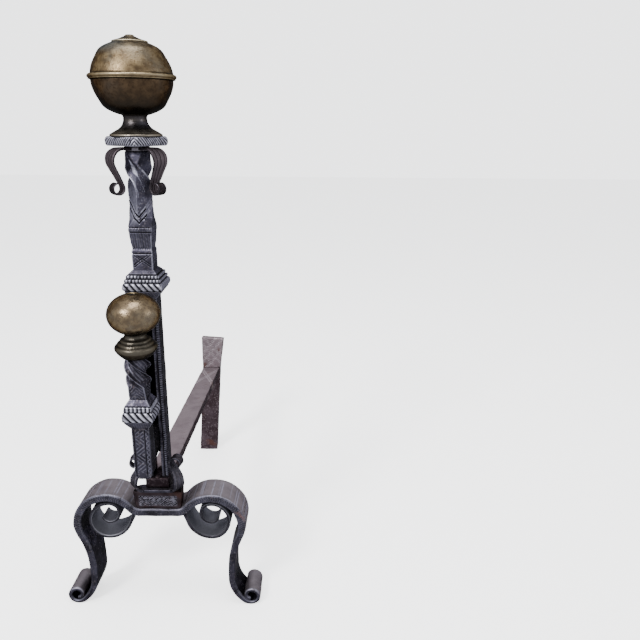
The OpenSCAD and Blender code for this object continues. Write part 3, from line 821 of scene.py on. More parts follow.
def worked(spot: Spot, others: float) -> Array:
    """1 on the front and the left of an ornament, and so much on its other sides."""
    return np.where(on(spot, Face.FRONT, Face.LEFT), 1.0, others)


def lit_band_highlight(low: float, high: float, sides: float) -> Pattern:
    """How much painted highlight a band of ornament gets: fully on the front and left, which face the light,
    less on the other sides.

    Args:
        low: height of the band's foot in millimetres.
        high: height of its top.
        sides: the painted highlight on the right and the back.

    Returns:
        The share of painted highlight.
    """
    def rub(spot: Spot) -> Array:
        """The painted highlight at each spot."""
        return within(spot.along, low, high) * worked(spot, sides)

    return rub


def plain(spot: Spot) -> Array:
    """No chisel work."""
    return np.zeros(len(spot.along))


def outer_face(spot: Spot) -> Array:
    """1 on a bent bar's left-hand side, which is its outer one."""
    return on(spot, Face.BACK)


def broad_faces(spot: Spot) -> Array:
    """1 on both broad sides of a bent bar."""
    return on(spot, Face.BACK, Face.FRONT)


# ---- bent bars ----


@dataclass(frozen=True)
class Move:
    """One stretch of a bent bar: straight where radius is 0, otherwise an arc.

    A positive radius turns left and a negative one right; amount is a length in millimetres,
    or an angle in degrees on an arc. thickness is the bar's at the stretch's end.
    """

    radius: float
    amount: float
    thickness: float


@dataclass
class BentBar:
    """A flat bar bent in the plane of X and Z, with its width along Y."""

    start: tuple[float, float]
    heading: float
    thickness: float
    moves: list[Move]
    step: float = 0.9

    def stations(self) -> Array:
        """Rows of x, z, heading in degrees, thickness and distance along the bar."""
        x, z = self.start
        heading, thick, gone = self.heading, self.thickness, 0.0
        rows = [(x, z, heading, thick, gone)]
        for move in self.moves:
            straight = move.radius == 0
            length = move.amount if straight else math.radians(move.amount) * abs(move.radius)
            count = max(1, round(length / self.step))
            for k in range(1, count + 1):
                share = k / count
                t = thick + (move.thickness - thick) * share
                if straight:
                    a, run = math.radians(heading), share * move.amount
                    spot = (x + run * math.cos(a), z + run * math.sin(a), heading)
                else:
                    turned = heading + math.copysign(move.amount * share, move.radius)
                    a, b = math.radians(heading), math.radians(turned)
                    spot = (x + move.radius * (math.sin(b) - math.sin(a)),
                            z - move.radius * (math.cos(b) - math.cos(a)), turned)
                rows.append((*spot, t, gone + share * length))
            x, z, heading, thick, gone = rows[-1]
        return np.array(rows)

    @staticmethod
    def both_ways(rows: Array) -> Array:
        """The bar with its mirror image put before it, so that it runs from end to end.

        Args:
            rows: the half that is mirrored.

        Returns:
            The rows from end to end.
        """
        mirror = rows[:0:-1].copy()
        mirror[:, 0] *= -1
        mirror[:, 2] *= -1
        mirror[:, 4] *= -1
        return np.concatenate([mirror, rows])

    @staticmethod
    def mesh(rows: Array, width: Callable[[Array], Array], pattern: Pattern, depth: float = 0.5,
             arris: float = 0.8, pitch: float = 1.0, hammer: float = 0.2, seed: int = 5,
             toned: Pattern | None = None) -> Mesh:
        """Sweeps the bar's section along its stations.

        Args:
            rows: the stations.
            width: the bar's width for an array of distances along it.
            pattern: chisel work; on face BACK is the bar's left-hand side, FRONT its right.
            depth: how deep a full cut goes, in millimetres.
            arris: rounding of the bar's edges.
            pitch: distance between points across the bar.
            hammer: depth of the hammer marks.
            seed: picks the hammer marks.
            toned: how much of the finish's second colour there is.

        Returns:
            The closed mesh.
        """
        x, z, heading, thick, gone = rows.T
        arris = min(arris, 0.45 * thick.min())
        ring = Ring(max(4, int(width(gone).max() / pitch)), max(3, int(thick.max() / pitch)))

        def place(column: Array, row: Array) -> Carving:
            """The carving at each point of the grid.

            Args:
                column: where each point lies round the bar.
                row: where each point lies along the bar.

            Returns:
                The carving.
            """
            half = np.stack([width(gone)[row] / 2, thick[row] / 2], axis=1)
            point, out, edge = round_section(ring.unit(column), half, arris)
            spot = Spot(ring.face[column], point[:, 0], gone[row], ring.across_half(column, half),
                        ring.share[column])
            mark = np.clip(pattern(spot), -1, 1)
            cut, shine = np.clip(mark, 0, 1), np.clip(-mark, 0, 1)
            turn = np.radians(heading[row])
            normal = np.stack([-np.sin(turn), np.zeros(len(turn)), np.cos(turn)], axis=1)
            across = np.array([0.0, 1.0, 0.0])
            centre = np.stack([x[row], np.zeros(len(row)), z[row]], axis=1)
            solid = centre + point[:, :1] * across + point[:, 1:] * normal
            outward = out[:, :1] * across + out[:, 1:] * normal
            forged = dents(solid, seed, (1, 13), (0.5, 4.5))
            solid = solid + outward * (hammer * forged - np.abs(mark) * depth)[:, None]
            tone = None if toned is None else toned(spot) * (1 - edge)
            # edges are rubbed, and where they look up they also get a painted highlight, as lit from above
            rub_and_highlight = edge * (1 - cut) * np.clip(0.06 + 1.1 * outward[:, 2], 0.05, 1)
            return Carving(solid, cut, rub_and_highlight + 0.3 * cut_near(cut) + shine, tone)

        return Workshop.rolled(ring.total, len(rows), place)


# ---- the andiron's sub-assemblies ----


@dataclass
class Shop:
    """What every sub-assembly needs: the finishes, the CAD's own places, and a bench for its pieces."""

    iron: Material
    bright_iron: Material
    head_iron: Material
    dull_iron: Material
    rusty_iron: Material
    bar_iron: Material
    leaf_iron: Material
    black_iron: Material
    ball_brass: Material
    lower_brass: Material
    small_brass: Material
    saucer_brass: Material
    neck_brass: Material
    count: int = 0

    def __post_init__(self) -> None:
        """Reads where the CAD puts the two upright axes."""
        self.post = self.centre("post_collar")
        self.baluster = self.centre("baluster_collar")

    @staticmethod
    def centre(node: str) -> Vector:
        """A node's middle in plan, at floor height.

        Args:
            node: the piece's name in the frame.

        Returns:
            The middle.
        """
        low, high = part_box(node)
        middle = (low + high) / 2
        return Vector((middle.x, middle.y, 0))

    @staticmethod
    def span(node: str) -> tuple[float, float]:
        """A node's lowest and highest point in millimetres."""
        low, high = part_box(node)
        return low.z / MM, high.z / MM

    def put(self, bm: Mesh, name: str, node: str, material: Material, slot: Slot = Slot.IRON,
            body: Body = Body.FRAME, axis: Vector | None = None) -> None:
        """Turns a mesh in millimetres round an axis into a finished object in metres.

        Args:
            bm: the mesh; it is freed.
            name: the piece's name.
            node: the CAD node that it stands for.
            material: its finish.
            slot: the record's material slot; it is not used.
            body: the CAD body that it rides on.
            axis: where the mesh's own origin lies, in metres; the post's unless it is given.
        """
        bmesh.ops.scale(bm, vec=(MM, MM, MM), verts=bm.verts)
        bmesh.ops.translate(bm, vec=self.post if axis is None else axis, verts=bm.verts)
        bmesh.ops.recalc_face_normals(bm, faces=bm.faces)
        mesh = settle(bm, name)
        mesh.materials.append(material)
        piece = add_object(name, mesh)
        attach(piece, body.value)
        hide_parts(node)
        self.count += 1
        log.info("%s: %d faces on %s", name, len(mesh.polygons), body.value)


@dataclass
class LegAssembly:
    """The arched leg bar with its rolled feet, and the two scrolls under its arches."""

    shop: Shop
    band_width: float = 38.0
    scroll_width: float = 34.0
    foot_flat: float = 0.3
    arch_line_pitch: float = 9.4
    nick_pitch: float = 2.6
    dip_half: float = 21.0
    scroll_root_out: float = 6.9
    scroll_root_hidden: float = 3.0

    def leg_rows(self) -> Array:
        """The leg bar from foot to foot, with its toes on the floor."""
        half = BentBar((0, 0), 0, 9.2, [
            Move(0, self.dip_half, 9.2), Move(14, 51, 9.2), Move(-34.9, 141, 9.2), Move(-34.9, 25, 7.8),
            Move(105, 25, 7.8), Move(0, 12, 7.8), Move(40, 50, 6.0), Move(12, 40, 4.2),
            Move(8.6, 180, 4.2), Move(6, 170, 4.2),
        ]).stations()
        under = half[:, 1] - half[:, 3] / 2 * np.cos(np.radians(half[:, 2]))
        half[:, 1] -= under.min() + self.foot_flat
        return BentBar.both_ways(half)

    @staticmethod
    def leg_tone(spot: Spot) -> Array:
        """A lighter grey painted over the arches' upper side, as light from above, and on the outside of the
        rolled feet.

        Args:
            spot: the points on the bar.

        Returns:
            The tone at each spot.
        """
        far = np.abs(spot.along)
        arch = outer_face(spot) * within(far, 0, 150, 30)
        foot = on(spot, Face.FRONT) * within(far, 226, 300, 8)
        return np.maximum(arch, 0.75 * foot)

    def leg_pattern(self, spot: Spot) -> Array:
        """Pairs of rubbed chisel lines across the arches, and faint nicks along both edges.

        Args:
            spot: the points on the bar.

        Returns:
            The cut or rub at each spot.
        """
        far = np.abs(spot.along)
        wander = 0.35 * np.sin(spot.along * 0.37)
        lines = stripes(far / self.arch_line_pitch + wander * 0.1, 0.11)
        second = stripes((far + 2.4) / (2 * self.arch_line_pitch), 0.055)
        uneven = 3 * np.sin(np.round(far / self.arch_line_pitch) * 2.3)
        reach = within(spot.across, -14 + uneven, 12 + uneven, 4)
        cross = np.maximum(lines, second) * within(far, 38, 116, 2) * reach * outer_face(spot)
        # the nicks are drawn coarser than the real ones, which would be too fine to see
        nicks = stripes((far + 0.7 * zigzag(spot.share, 1.2)) / self.nick_pitch, 0.5)
        nicks = nicks * within(far, 24, 200, 3) * on(spot, Face.LEFT, Face.RIGHT)
        return -0.2 * nicks * within(far, 24, 130, 8) - 0.8 * cross

    def scroll_rows(self, dip_z: float) -> Array:
        """The right-hand scroll from its root under the dip to its inner tip.

        Args:
            dip_z: the dip's height.

        Returns:
            The rows.
        """
        return BentBar((self.dip_half + self.scroll_root_out, dip_z), -70, 3.6, [
            Move(0, 16, 3.6), Move(27.2, 70, 3.6), Move(20.4, 180, 3.6), Move(12.5, 180, 2.4),
            Move(8, 70, 2.4),
        ], step=1.0).stations()

    def scroll_taper(self, gone: Array) -> Array:
        """A scroll's width, which narrows towards its eye."""
        return np.interp(gone, [0, 60, 165], [self.scroll_width, self.scroll_width, 0.65 * self.scroll_width])

    def build(self) -> None:
        """Makes the leg bar and both scrolls."""
        rows = self.leg_rows()
        shop = self.shop
        bm = BentBar.mesh(rows, lambda s: np.full(len(s), self.band_width), self.leg_pattern, depth=0.7,
                          arris=1.6, pitch=1.0, hammer=0.28, toned=self.leg_tone)
        for vert in bm.verts:
            vert.co.z = max(vert.co.z, 0)
        shop.put(bm, "leg_bar_forged", "leg_bar", shop.iron)
        dip_z = rows[len(rows) // 2, 1]
        scroll = self.scroll_rows(dip_z)
        scroll = scroll[scroll[:, 4] > self.scroll_root_hidden]
        for name, side in (("left", -1), ("right", 1)):
            turned = scroll.copy()
            turned[:, 0] *= side
            turned[:, 2] = turned[:, 2] if side > 0 else 180 - turned[:, 2]
            bm = BentBar.mesh(turned, self.scroll_taper, plain, arris=0.8, pitch=1.2, hammer=0.25,
                              seed=20 + side, toned=broad_faces)
            shop.put(bm, f"{name}_inner_scroll_forged", f"{name}_inner_scroll", shop.dull_iron)


@dataclass
class BaseAssembly:
    """The base block in the dip, the lyre scroll, the log bar, the rear upright and its rivets."""

    shop: Shop
    lyre_width: float = 14.0
    lyre_middle: float = -12.0
    lyre_half: float = 17.0
    horn_angle: float = 38.0
    curl_untwist: float = 0.75
    tooth_pitch: float = 3.2
    row_pitch: float = 2.4
    bar_mark: float = 322.0
    bar_shade_end: float = 6.0
    bar_shade_fade: float = 12.0
    lyre_line_pitch: float = 2.8

    def block_carving(self, points: Array, normals: Array) -> Carving:
        """Rows of zigzag chisel marks on the block's front, rough forging elsewhere.

        Args:
            points: the mesh's points.
            normals: the way each point faces.

        Returns:
            The carving.
        """
        low, high = self.shop.span("base_block")
        front = facing(-normals[:, 1], 1.6, 0.5)
        x, _, z = points.T
        rise = z - low
        # the rows and teeth are drawn coarser than the real ones, so that they show
        row = (rise + 0.9 * zigzag(x, self.tooth_pitch)) / self.row_pitch
        row = row + 0.5 * lattice_noise(points, 3, 33)
        field = within(rise, 4.5, high - low - 6, 1.5) * within(np.abs(x), 0, 20.5, 1.5)
        broken = np.clip(0.75 + 1.4 * lattice_noise(points, 2.2, 34), 0, 1)
        cut = 0.95 * (1 - (1 - stripes(row, 0.66)) ** 2) * front * field * broken
        moved = points + normals * (dents(points, 31, (0.35, 7), (0.18, 2.6)) - 0.8 * cut)[:, None]
        return Carving(moved, cut, 0.3 * field * front * (1 - cut) ** 3, 0.15 * field * front)

    def bar_carving(self, points: Array, normals: Array) -> Carving:
        """Hammer marks, crossed double lines on the log bar's top near its rear end, and painted shade over
        its front end under the post.

        Args:
            points: the mesh's points.
            normals: the way each point faces.

        Returns:
            The carving.
        """
        x, y, _ = points.T
        top = facing(normals[:, 2])
        vee = deepest(*(groove(y - self.bar_mark - shift - lean * 2.4 * x, 2.4)
                        for lean, shift in itertools.product((-1, 1), (-4.5, 4.5))))
        vee = vee * within(y, 285, 350, 4) * within(np.abs(x), 0, 12) * top
        moved = points + normals * (dents(points, 41, (0.12, 16), (0.06, 4)) - 0.6 * vee)[:, None]
        # painted shade on the bar's front end under the post: darker, with no rubbed edges and no lighter
        # top; behind it the top is painted light from above
        out_of_shade = np.clip((y - self.bar_shade_end) / self.bar_shade_fade, 0, 1)
        return Carving(moved, np.maximum(0.3 * vee, 0.5 * (1 - out_of_shade)),
                       0.5 * corners(normals) * out_of_shade + vee, top * out_of_shade)

    def upright_carving(self, points: Array, normals: Array) -> Carving:
        """Crossing double lines on the upper front, and eaten flakes at the foot.

        Args:
            points: the mesh's points.
            normals: the way each point faces.

        Returns:
            The carving.
        """
        front = facing(-normals[:, 1], 1.6, 0.5)
        x, _, z = points.T
        top = self.shop.span("rear_upright")[1]
        upper = within(z, top - 52, top - 2, 1)
        lines = [z - (top - 26 + shift) - lean * 1.15 * x
                 for lean, shift in itertools.product((-1, 1), (-17, 0, 14))]
        cut = deepest(*(groove(line + side, 0.9) for line in lines for side in (-1.6, 1.6))) * front * upper
        flakes = np.clip(lattice_noise(points, 5, 51), 0, 1) * np.clip(1 - z / 24, 0, 1)
        rough = dents(points, 52, (0.3, 14), (0.12, 4)) - 0.8 * flakes
        moved = points + normals * (rough - 0.7 * cut)[:, None]
        moved[:, 2] = np.maximum(moved[:, 2], 0)
        # the lighter tone on the upper front, and on every face that looks up as light painted from above
        return Carving(moved, 0.5 * cut, 0.5 * corners(normals) + 0.8 * cut_near(cut),
                       np.maximum(0.75 * front * upper, facing(normals[:, 2])))

    def lyre_pattern(self, spot: Spot) -> Array:
        """Long chased grooves on the lyre's outer side, none on its flat foot."""
        lines = 0.8 * stripes(spot.across / self.lyre_line_pitch, 0.4)
        return lines * on(spot, Face.FRONT) * within(np.abs(spot.along), 20, 200, 3)

    def lyre(self, low: float) -> None:
        """Makes the lyre scroll, with its horns turned off to the front.

        Args:
            low: height of its foot in millimetres.
        """
        rows = BentBar((0, low + 1.5), 0, 3.0, [
            Move(0, self.lyre_half, 3.0), Move(10.5, 125, 3.0), Move(0, 11, 3.0), Move(-16, 35, 2.4),
            Move(-6, 250, 1.8),
        ], step=0.8).stations()
        bm = BentBar.mesh(BentBar.both_ways(rows), self.lyre_taper, self.lyre_pattern, depth=0.45, arris=0.6,
                          pitch=0.6, hammer=0.15, seed=61, toned=lambda spot: 0.15 * broad_faces(spot))
        for vert in bm.verts:
            side = math.copysign(1, vert.co.x)
            rise = vert.co.z - low
            share = 1.0 if rise > 3.2 else min(max((abs(vert.co.x) - self.lyre_half + 3) / 6, 0), 1)
            share *= 1 - self.curl_untwist * min(max((rise - 16) / 14, 0), 1)
            turn = Matrix.Rotation(math.radians(-side * self.horn_angle * share), 3, "Z")
            pivot = Vector((side * self.lyre_half, 0, 0))
            vert.co = turn @ (vert.co - pivot) + pivot
        bmesh.ops.translate(bm, vec=(0, self.lyre_middle, 0), verts=bm.verts)
        self.shop.put(bm, "lyre_scroll_forged", "lyre_scroll", self.shop.iron)

    def lyre_taper(self, gone: Array) -> Array:
        """The lyre's width, which narrows towards its curls."""
        return self.lyre_width - 3.5 * np.clip((np.abs(gone) - 50) / 35, 0, 1)

    def build(self) -> None:
        """Makes the pieces of the base."""
        shop = self.shop
        for node, voxel, soften, carving, material in (
            ("base_block", 0.45, 12, self.block_carving, shop.rusty_iron),
            ("log_bar", 1.1, 4, self.bar_carving, shop.bar_iron),
            ("rear_upright", 0.8, 8, self.upright_carving, shop.bar_iron),
        ):
            bm = Workshop.recut(node, shop.post, voxel, carving, soften=soften)
            shop.put(bm, f"{node}_forged", node, material, Slot.RUSTY)
        self.lyre(shop.span("lyre_scroll")[0])
        rivets = bpy.data.objects["base_rivets"]
        rivets.data.materials.clear()
        rivets.data.materials.append(shop.rusty_iron)


@dataclass
class TallPost:
    """The post from its forked foot to the twisted head, and its square collar."""

    shop: Shop
    channel_width: float = 9.6
    shaft_width: float = 24.0
    rope_height: float = 8.5
    bead_height: float = 4.0
    bead_step: float = 1.7
    under_height: float = 9.5
    collar_width: float = 41.0
    rope_pitch: float = 6.3
    bead_pitch: float = 3.5
    cord_pitch: float = 2.6
    block_height: float = 20.0
    waist_height: float = 18.5
    band_height: float = 5.5
    ridge_height: float = 35.0
    tick_pitch: float = 2.7
    flute_pitch: float = 2.4
    band_bead_pitch: float = 2.3
    vee_gap: float = 6.0
    vee_slope: float = 1.4

    def shaft_carving(self, points: Array, normals: Array) -> Carving:
        """Corded borders along the rails, in front and at their sides, and painted shade deepening into the
        channel.

        Args:
            points: the mesh's points.
            normals: the way each point faces.

        Returns:
            The carving.
        """
        x, y, z = points.T
        half, inner = self.shaft_width / 2, self.channel_width / 2
        front = facing(-normals[:, 1]) * (y < -8)
        side = facing(np.abs(normals[:, 0])) * (np.abs(x) > half - 1.5)
        border = within(np.abs(x), half - 2.4, half - 0.9, 0.3)
        border = (border + 0.6 * within(np.abs(x), inner + 0.8, inner + 1.6, 0.3)) * front
        side_border = within(y, -9.4, -7.0, 0.3) * side
        # the cord is drawn coarser than the real one, which would be too fine to see
        cord = strands(z / self.cord_pitch)
        cut = deepest(cord * border, groove(np.abs(x) - (half - 3.6), 0.8) * front, cord * side_border,
                      0.7 * groove(y + 6.0, 0.7) * side)
        inside = (np.abs(x) < inner + 0.4) & (y < 2.6) & (normals[:, 1] < 0.9)
        rough = dents(points, 71, (0.2, 12), (0.1, 4))
        moved = points + normals * (rough - 0.5 * cut * (~inside))[:, None]
        # painted shade, darker the deeper it lies in the channel
        channel_shade = np.where(inside & (y > -9.2), np.clip((y + 9.4) / 5, 0, 0.9), 0)
        bead = (border + 0.5 * side_border) * (1 - cut) ** 3
        worn = np.clip(0.3 * corners(normals) * (~inside) + 0.5 * bead, 0, 1)
        return Carving(moved, np.maximum(cut, channel_shade), worn)

    def collar_levels(self, foot: float) -> tuple[float, float, float, float]:
        """Heights of the rope's foot and top, and of the tops of both rows of beads.

        Args:
            foot: the height of the lowest edge.

        Returns:
            The heights.
        """
        rope_low = foot + self.under_height
        rope_high = rope_low + self.rope_height
        bead_mid = rope_high + self.bead_height
        return rope_low, rope_high, bead_mid, bead_mid + self.bead_height

    def collar_pattern(self, foot: float) -> Pattern:
        """Rope, two rows of beads and scratched slopes.

        Args:
            foot: height of the collar's foot in millimetres.

        Returns:
            The pattern.
        """
        rope_low, rope_high, bead_mid, bead_high = self.collar_levels(foot)

        def pattern(spot: Spot) -> Array:
            """The cut at each spot, or the rub below 0.

            Args:
                spot: the points on the bar.

            Returns:
                The cut or rub at each spot.
            """
            z, across = spot.along, spot.across
            rope = strands((across + 0.85 * (z - rope_low)) / self.rope_pitch)
            rope = rope * within(z, rope_low, rope_high)
            beads = np.maximum(
                strands(across / self.bead_pitch) * within(z, rope_high + 0.4, bead_mid - 0.3),
                strands(across / self.bead_pitch + 0.5) * within(z, bead_mid + 0.4, bead_high - 0.2),
            )
            ticks = stripes((across + 0.5 * (z - foot)) / self.tick_pitch, 0.3)
            ticks = ticks * within(z, foot + 1, rope_low - 1.5)
            return deepest(rope * worked(spot, 0.25), 0.8 * beads * worked(spot, 0.1), 0.35 * ticks,
                           0.9 * rings(z, (rope_low - 0.3, rope_high + 0.1, bead_mid, bead_high), 0.75))

        return pattern

    def collar(self) -> None:
        """Makes the square collar."""
        shop = self.shop
        foot, top = shop.span("post_collar")
        half = self.collar_width / 2
        rope_low, rope_high, bead_mid, bead_high = self.collar_levels(foot)
        tiers = [
            (foot, self.shaft_width / 2), (rope_low - 1, half - 1.6), (rope_low, half - 1.0),
            (rope_low + 0.3 * self.rope_height, half), (rope_high - 0.3 * self.rope_height, half),
            (rope_high, half - 1.1), (rope_high + 0.1, half - self.bead_step),
            (bead_mid - 0.1, half - self.bead_step - 0.3), (bead_mid, half - 2 * self.bead_step),
            (bead_high - 0.1, half - 2 * self.bead_step - 0.3), (bead_high, half - 3 * self.bead_step),
            (top, 11.2),
        ]
        levels, halves = np.array(tiers).T
        forging = SquareForging(levels, halves, halves, self.collar_pattern(foot), depth=1.6, arris=0.9,
                                pitch=0.55, hammer=0.16, seed=81, painted_highlight=lit_band_highlight(rope_low, bead_high, 0.4))
        shop.put(forging.mesh(0.55), "post_collar_forged", "post_collar", shop.bright_iron, Slot.CHISELLED)

    def upper_levels(self, foot: float) -> tuple[float, float, float]:
        """Heights of the tops of the block, the waist and the beaded band.

        Args:
            foot: the height of the lowest edge.

        Returns:
            The heights.
        """
        block_top = foot + self.block_height
        waist_top = block_top + self.waist_height
        return block_top, waist_top, waist_top + self.band_height

    def upper_pattern(self, foot: float) -> Pattern:
        """Crossed lines on the block, flutes on the waist, a beaded band and a double V.

        Args:
            foot: height of the block's foot in millimetres.

        Returns:
            The pattern.
        """
        block_top, waist_top, band_top = self.upper_levels(foot)
        middle = foot + self.block_height * 0.52

        def pattern(spot: Spot) -> Array:
            """The cut at each spot, or the rub below 0.

            Args:
                spot: the points on the bar.

            Returns:
                The cut or rub at each spot.
            """
            z, a = spot.along, spot.across
            inside = within(z, foot + 2.5, block_top - 4.5) * within(np.abs(a), 0, 8.6)
            crossed = deepest(*(groove(z - middle - shift - lean * 0.72 * a, 0.62)
                                for lean, shift in itertools.product((-1, 1), (-1.1, 1.1)))) * inside
            teeth = groove(a + 8.0 - 0.9 * zigzag(z, 3.4), 0.5) * within(z, foot + 3, block_top - 4)
            flutes = stripes((a + 0.05 * (z - block_top)) / self.flute_pitch, 0.5)
            flutes = flutes * within(z, block_top + 2, waist_top - 0.6)
            # the beads are drawn coarser than the real ones
            beads = strands(a / self.band_bead_pitch) * within(z, waist_top + 1.3, band_top - 1.2, 0.3)
            run = 12.8 * np.where(spot.face % 2 == 0, np.abs(a), spot.half) / (np.abs(a) + spot.half)
            held = within(z, band_top + 2, band_top + 30)
            falls = [z - band_top - 4 - shift - self.vee_slope * run for shift in (0.0, self.vee_gap)]
            # a painted highlight just above each V groove, where its wall would catch the light
            shine = deepest(*(0.7 * groove(fall - 2.3, 1.1) * held for fall in falls))
            pits = lattice_noise(np.column_stack([a, z, 40.0 * spot.face]), 1.3, 95)
            pits = np.clip(2.4 * pits - 0.9, 0, 1) * within(z, band_top + 8, band_top + 60, 3)
            cut = deepest(crossed, 0.7 * teeth, groove(z - (block_top - 3.2), 0.6), 0.75 * flutes,
                          rings(z, (waist_top + 0.5, band_top - 0.4), 0.7), 0.8 * beads, 0.35 * pits,
                          *(groove(fall, 1.4) * held for fall in falls))
            return worked(spot, 0.35) * np.where(cut > 0.1, cut, -shine)

        return pattern

    def head_highlight(self, band_top: float) -> Pattern:
        """The head's left facets, painted lighter as the side the light falls on, and a painted highlight on
        the leaf-shaped facet near its top.

        Args:
            band_top: height of the beaded band's top in millimetres.

        Returns:
            The pattern.
        """
        def pattern(spot: Spot) -> Array:
            """The painted highlight at each spot.

            Args:
                spot: the points on the bar.

            Returns:
                The painted highlight at each spot.
            """
            z, a = spot.along - band_top, spot.across
            front, left = on(spot, Face.FRONT), on(spot, Face.LEFT)
            # the left facets painted lighter as the lit side, and a painted highlight on the leaf facet
            facet = np.maximum(front * (a < -0.6), left * (a > 0)) * within(z, 8, 44, 8)
            down, side = 0.56 * (a + 3.8) - 0.83 * (z - 58), 0.83 * (a + 3.8) + 0.56 * (z - 58)
            half = 2.2 * np.clip(1 - (down / 10.5) ** 2, 0.05, 1)
            leaf = front * np.clip(1.6 - np.abs(side) / half, 0, 1)
            return np.maximum(0.22 * facet, leaf)

        return pattern

    def upper(self) -> None:
        """Makes the block, waist, ridged shaft and twisted head as one bar."""
        shop = self.shop
        foot = shop.span("post_collar")[1]
        top = shop.span("leaf_bracket")[1] - 5.0
        block_top, waist_top, band_top = self.upper_levels(foot)
        ridge_top = band_top + self.ridge_height
        levels, halves, ridge, angle = np.array([
            # height, half width, reach of the ridges' faces, their angle
            (foot, 10.4, 40, 45), (block_top - 0.4, 10.6, 40, 45), (block_top, 10.4, 40, 45),
            (block_top + 1.5, 9.8, 40, 45), (waist_top, 11.6, 40, 45), (waist_top + 0.4, 12.0, 40, 45),
            (band_top, 12.0, 17.4, 45), (band_top + 0.4, 11.8, 16.4, 45), (band_top + 9, 11.8, 11.4, 45),
            (band_top + 20, 11.9, 9.5, 45), (ridge_top, 12.2, 9.0, 45), (ridge_top + 10, 12.8, 9.2, 30),
            (top - 12, 12.4, 9.8, -38), (top - 5, 11.4, 11.6, -45), (top - 1, 10.8, 12.2, -45),
            (top, 10.2, 12.0, -45),
        ], float).T
        forging = SquareForging(levels, halves, halves, self.upper_pattern(foot), depth=1.0, arris=0.8,
                                pitch=0.62, ridge=ridge, ridge_angle=angle, hammer=0.2, rub=1.4,
                                painted_highlight=self.head_highlight(band_top), seed=91)
        shop.put(forging.mesh(0.6), "post_head_forged", "tall_post", shop.head_iron)

    def build(self) -> None:
        """Makes the whole post."""
        shop = self.shop
        shaft_top = shop.span("post_collar")[0]
        bm = Workshop.recut("tall_post", shop.post, 0.72, self.shaft_carving, below=shaft_top + 2)
        shop.put(bm, "post_shaft_forged", "tall_post", shop.iron)
        self.collar()
        self.upper()


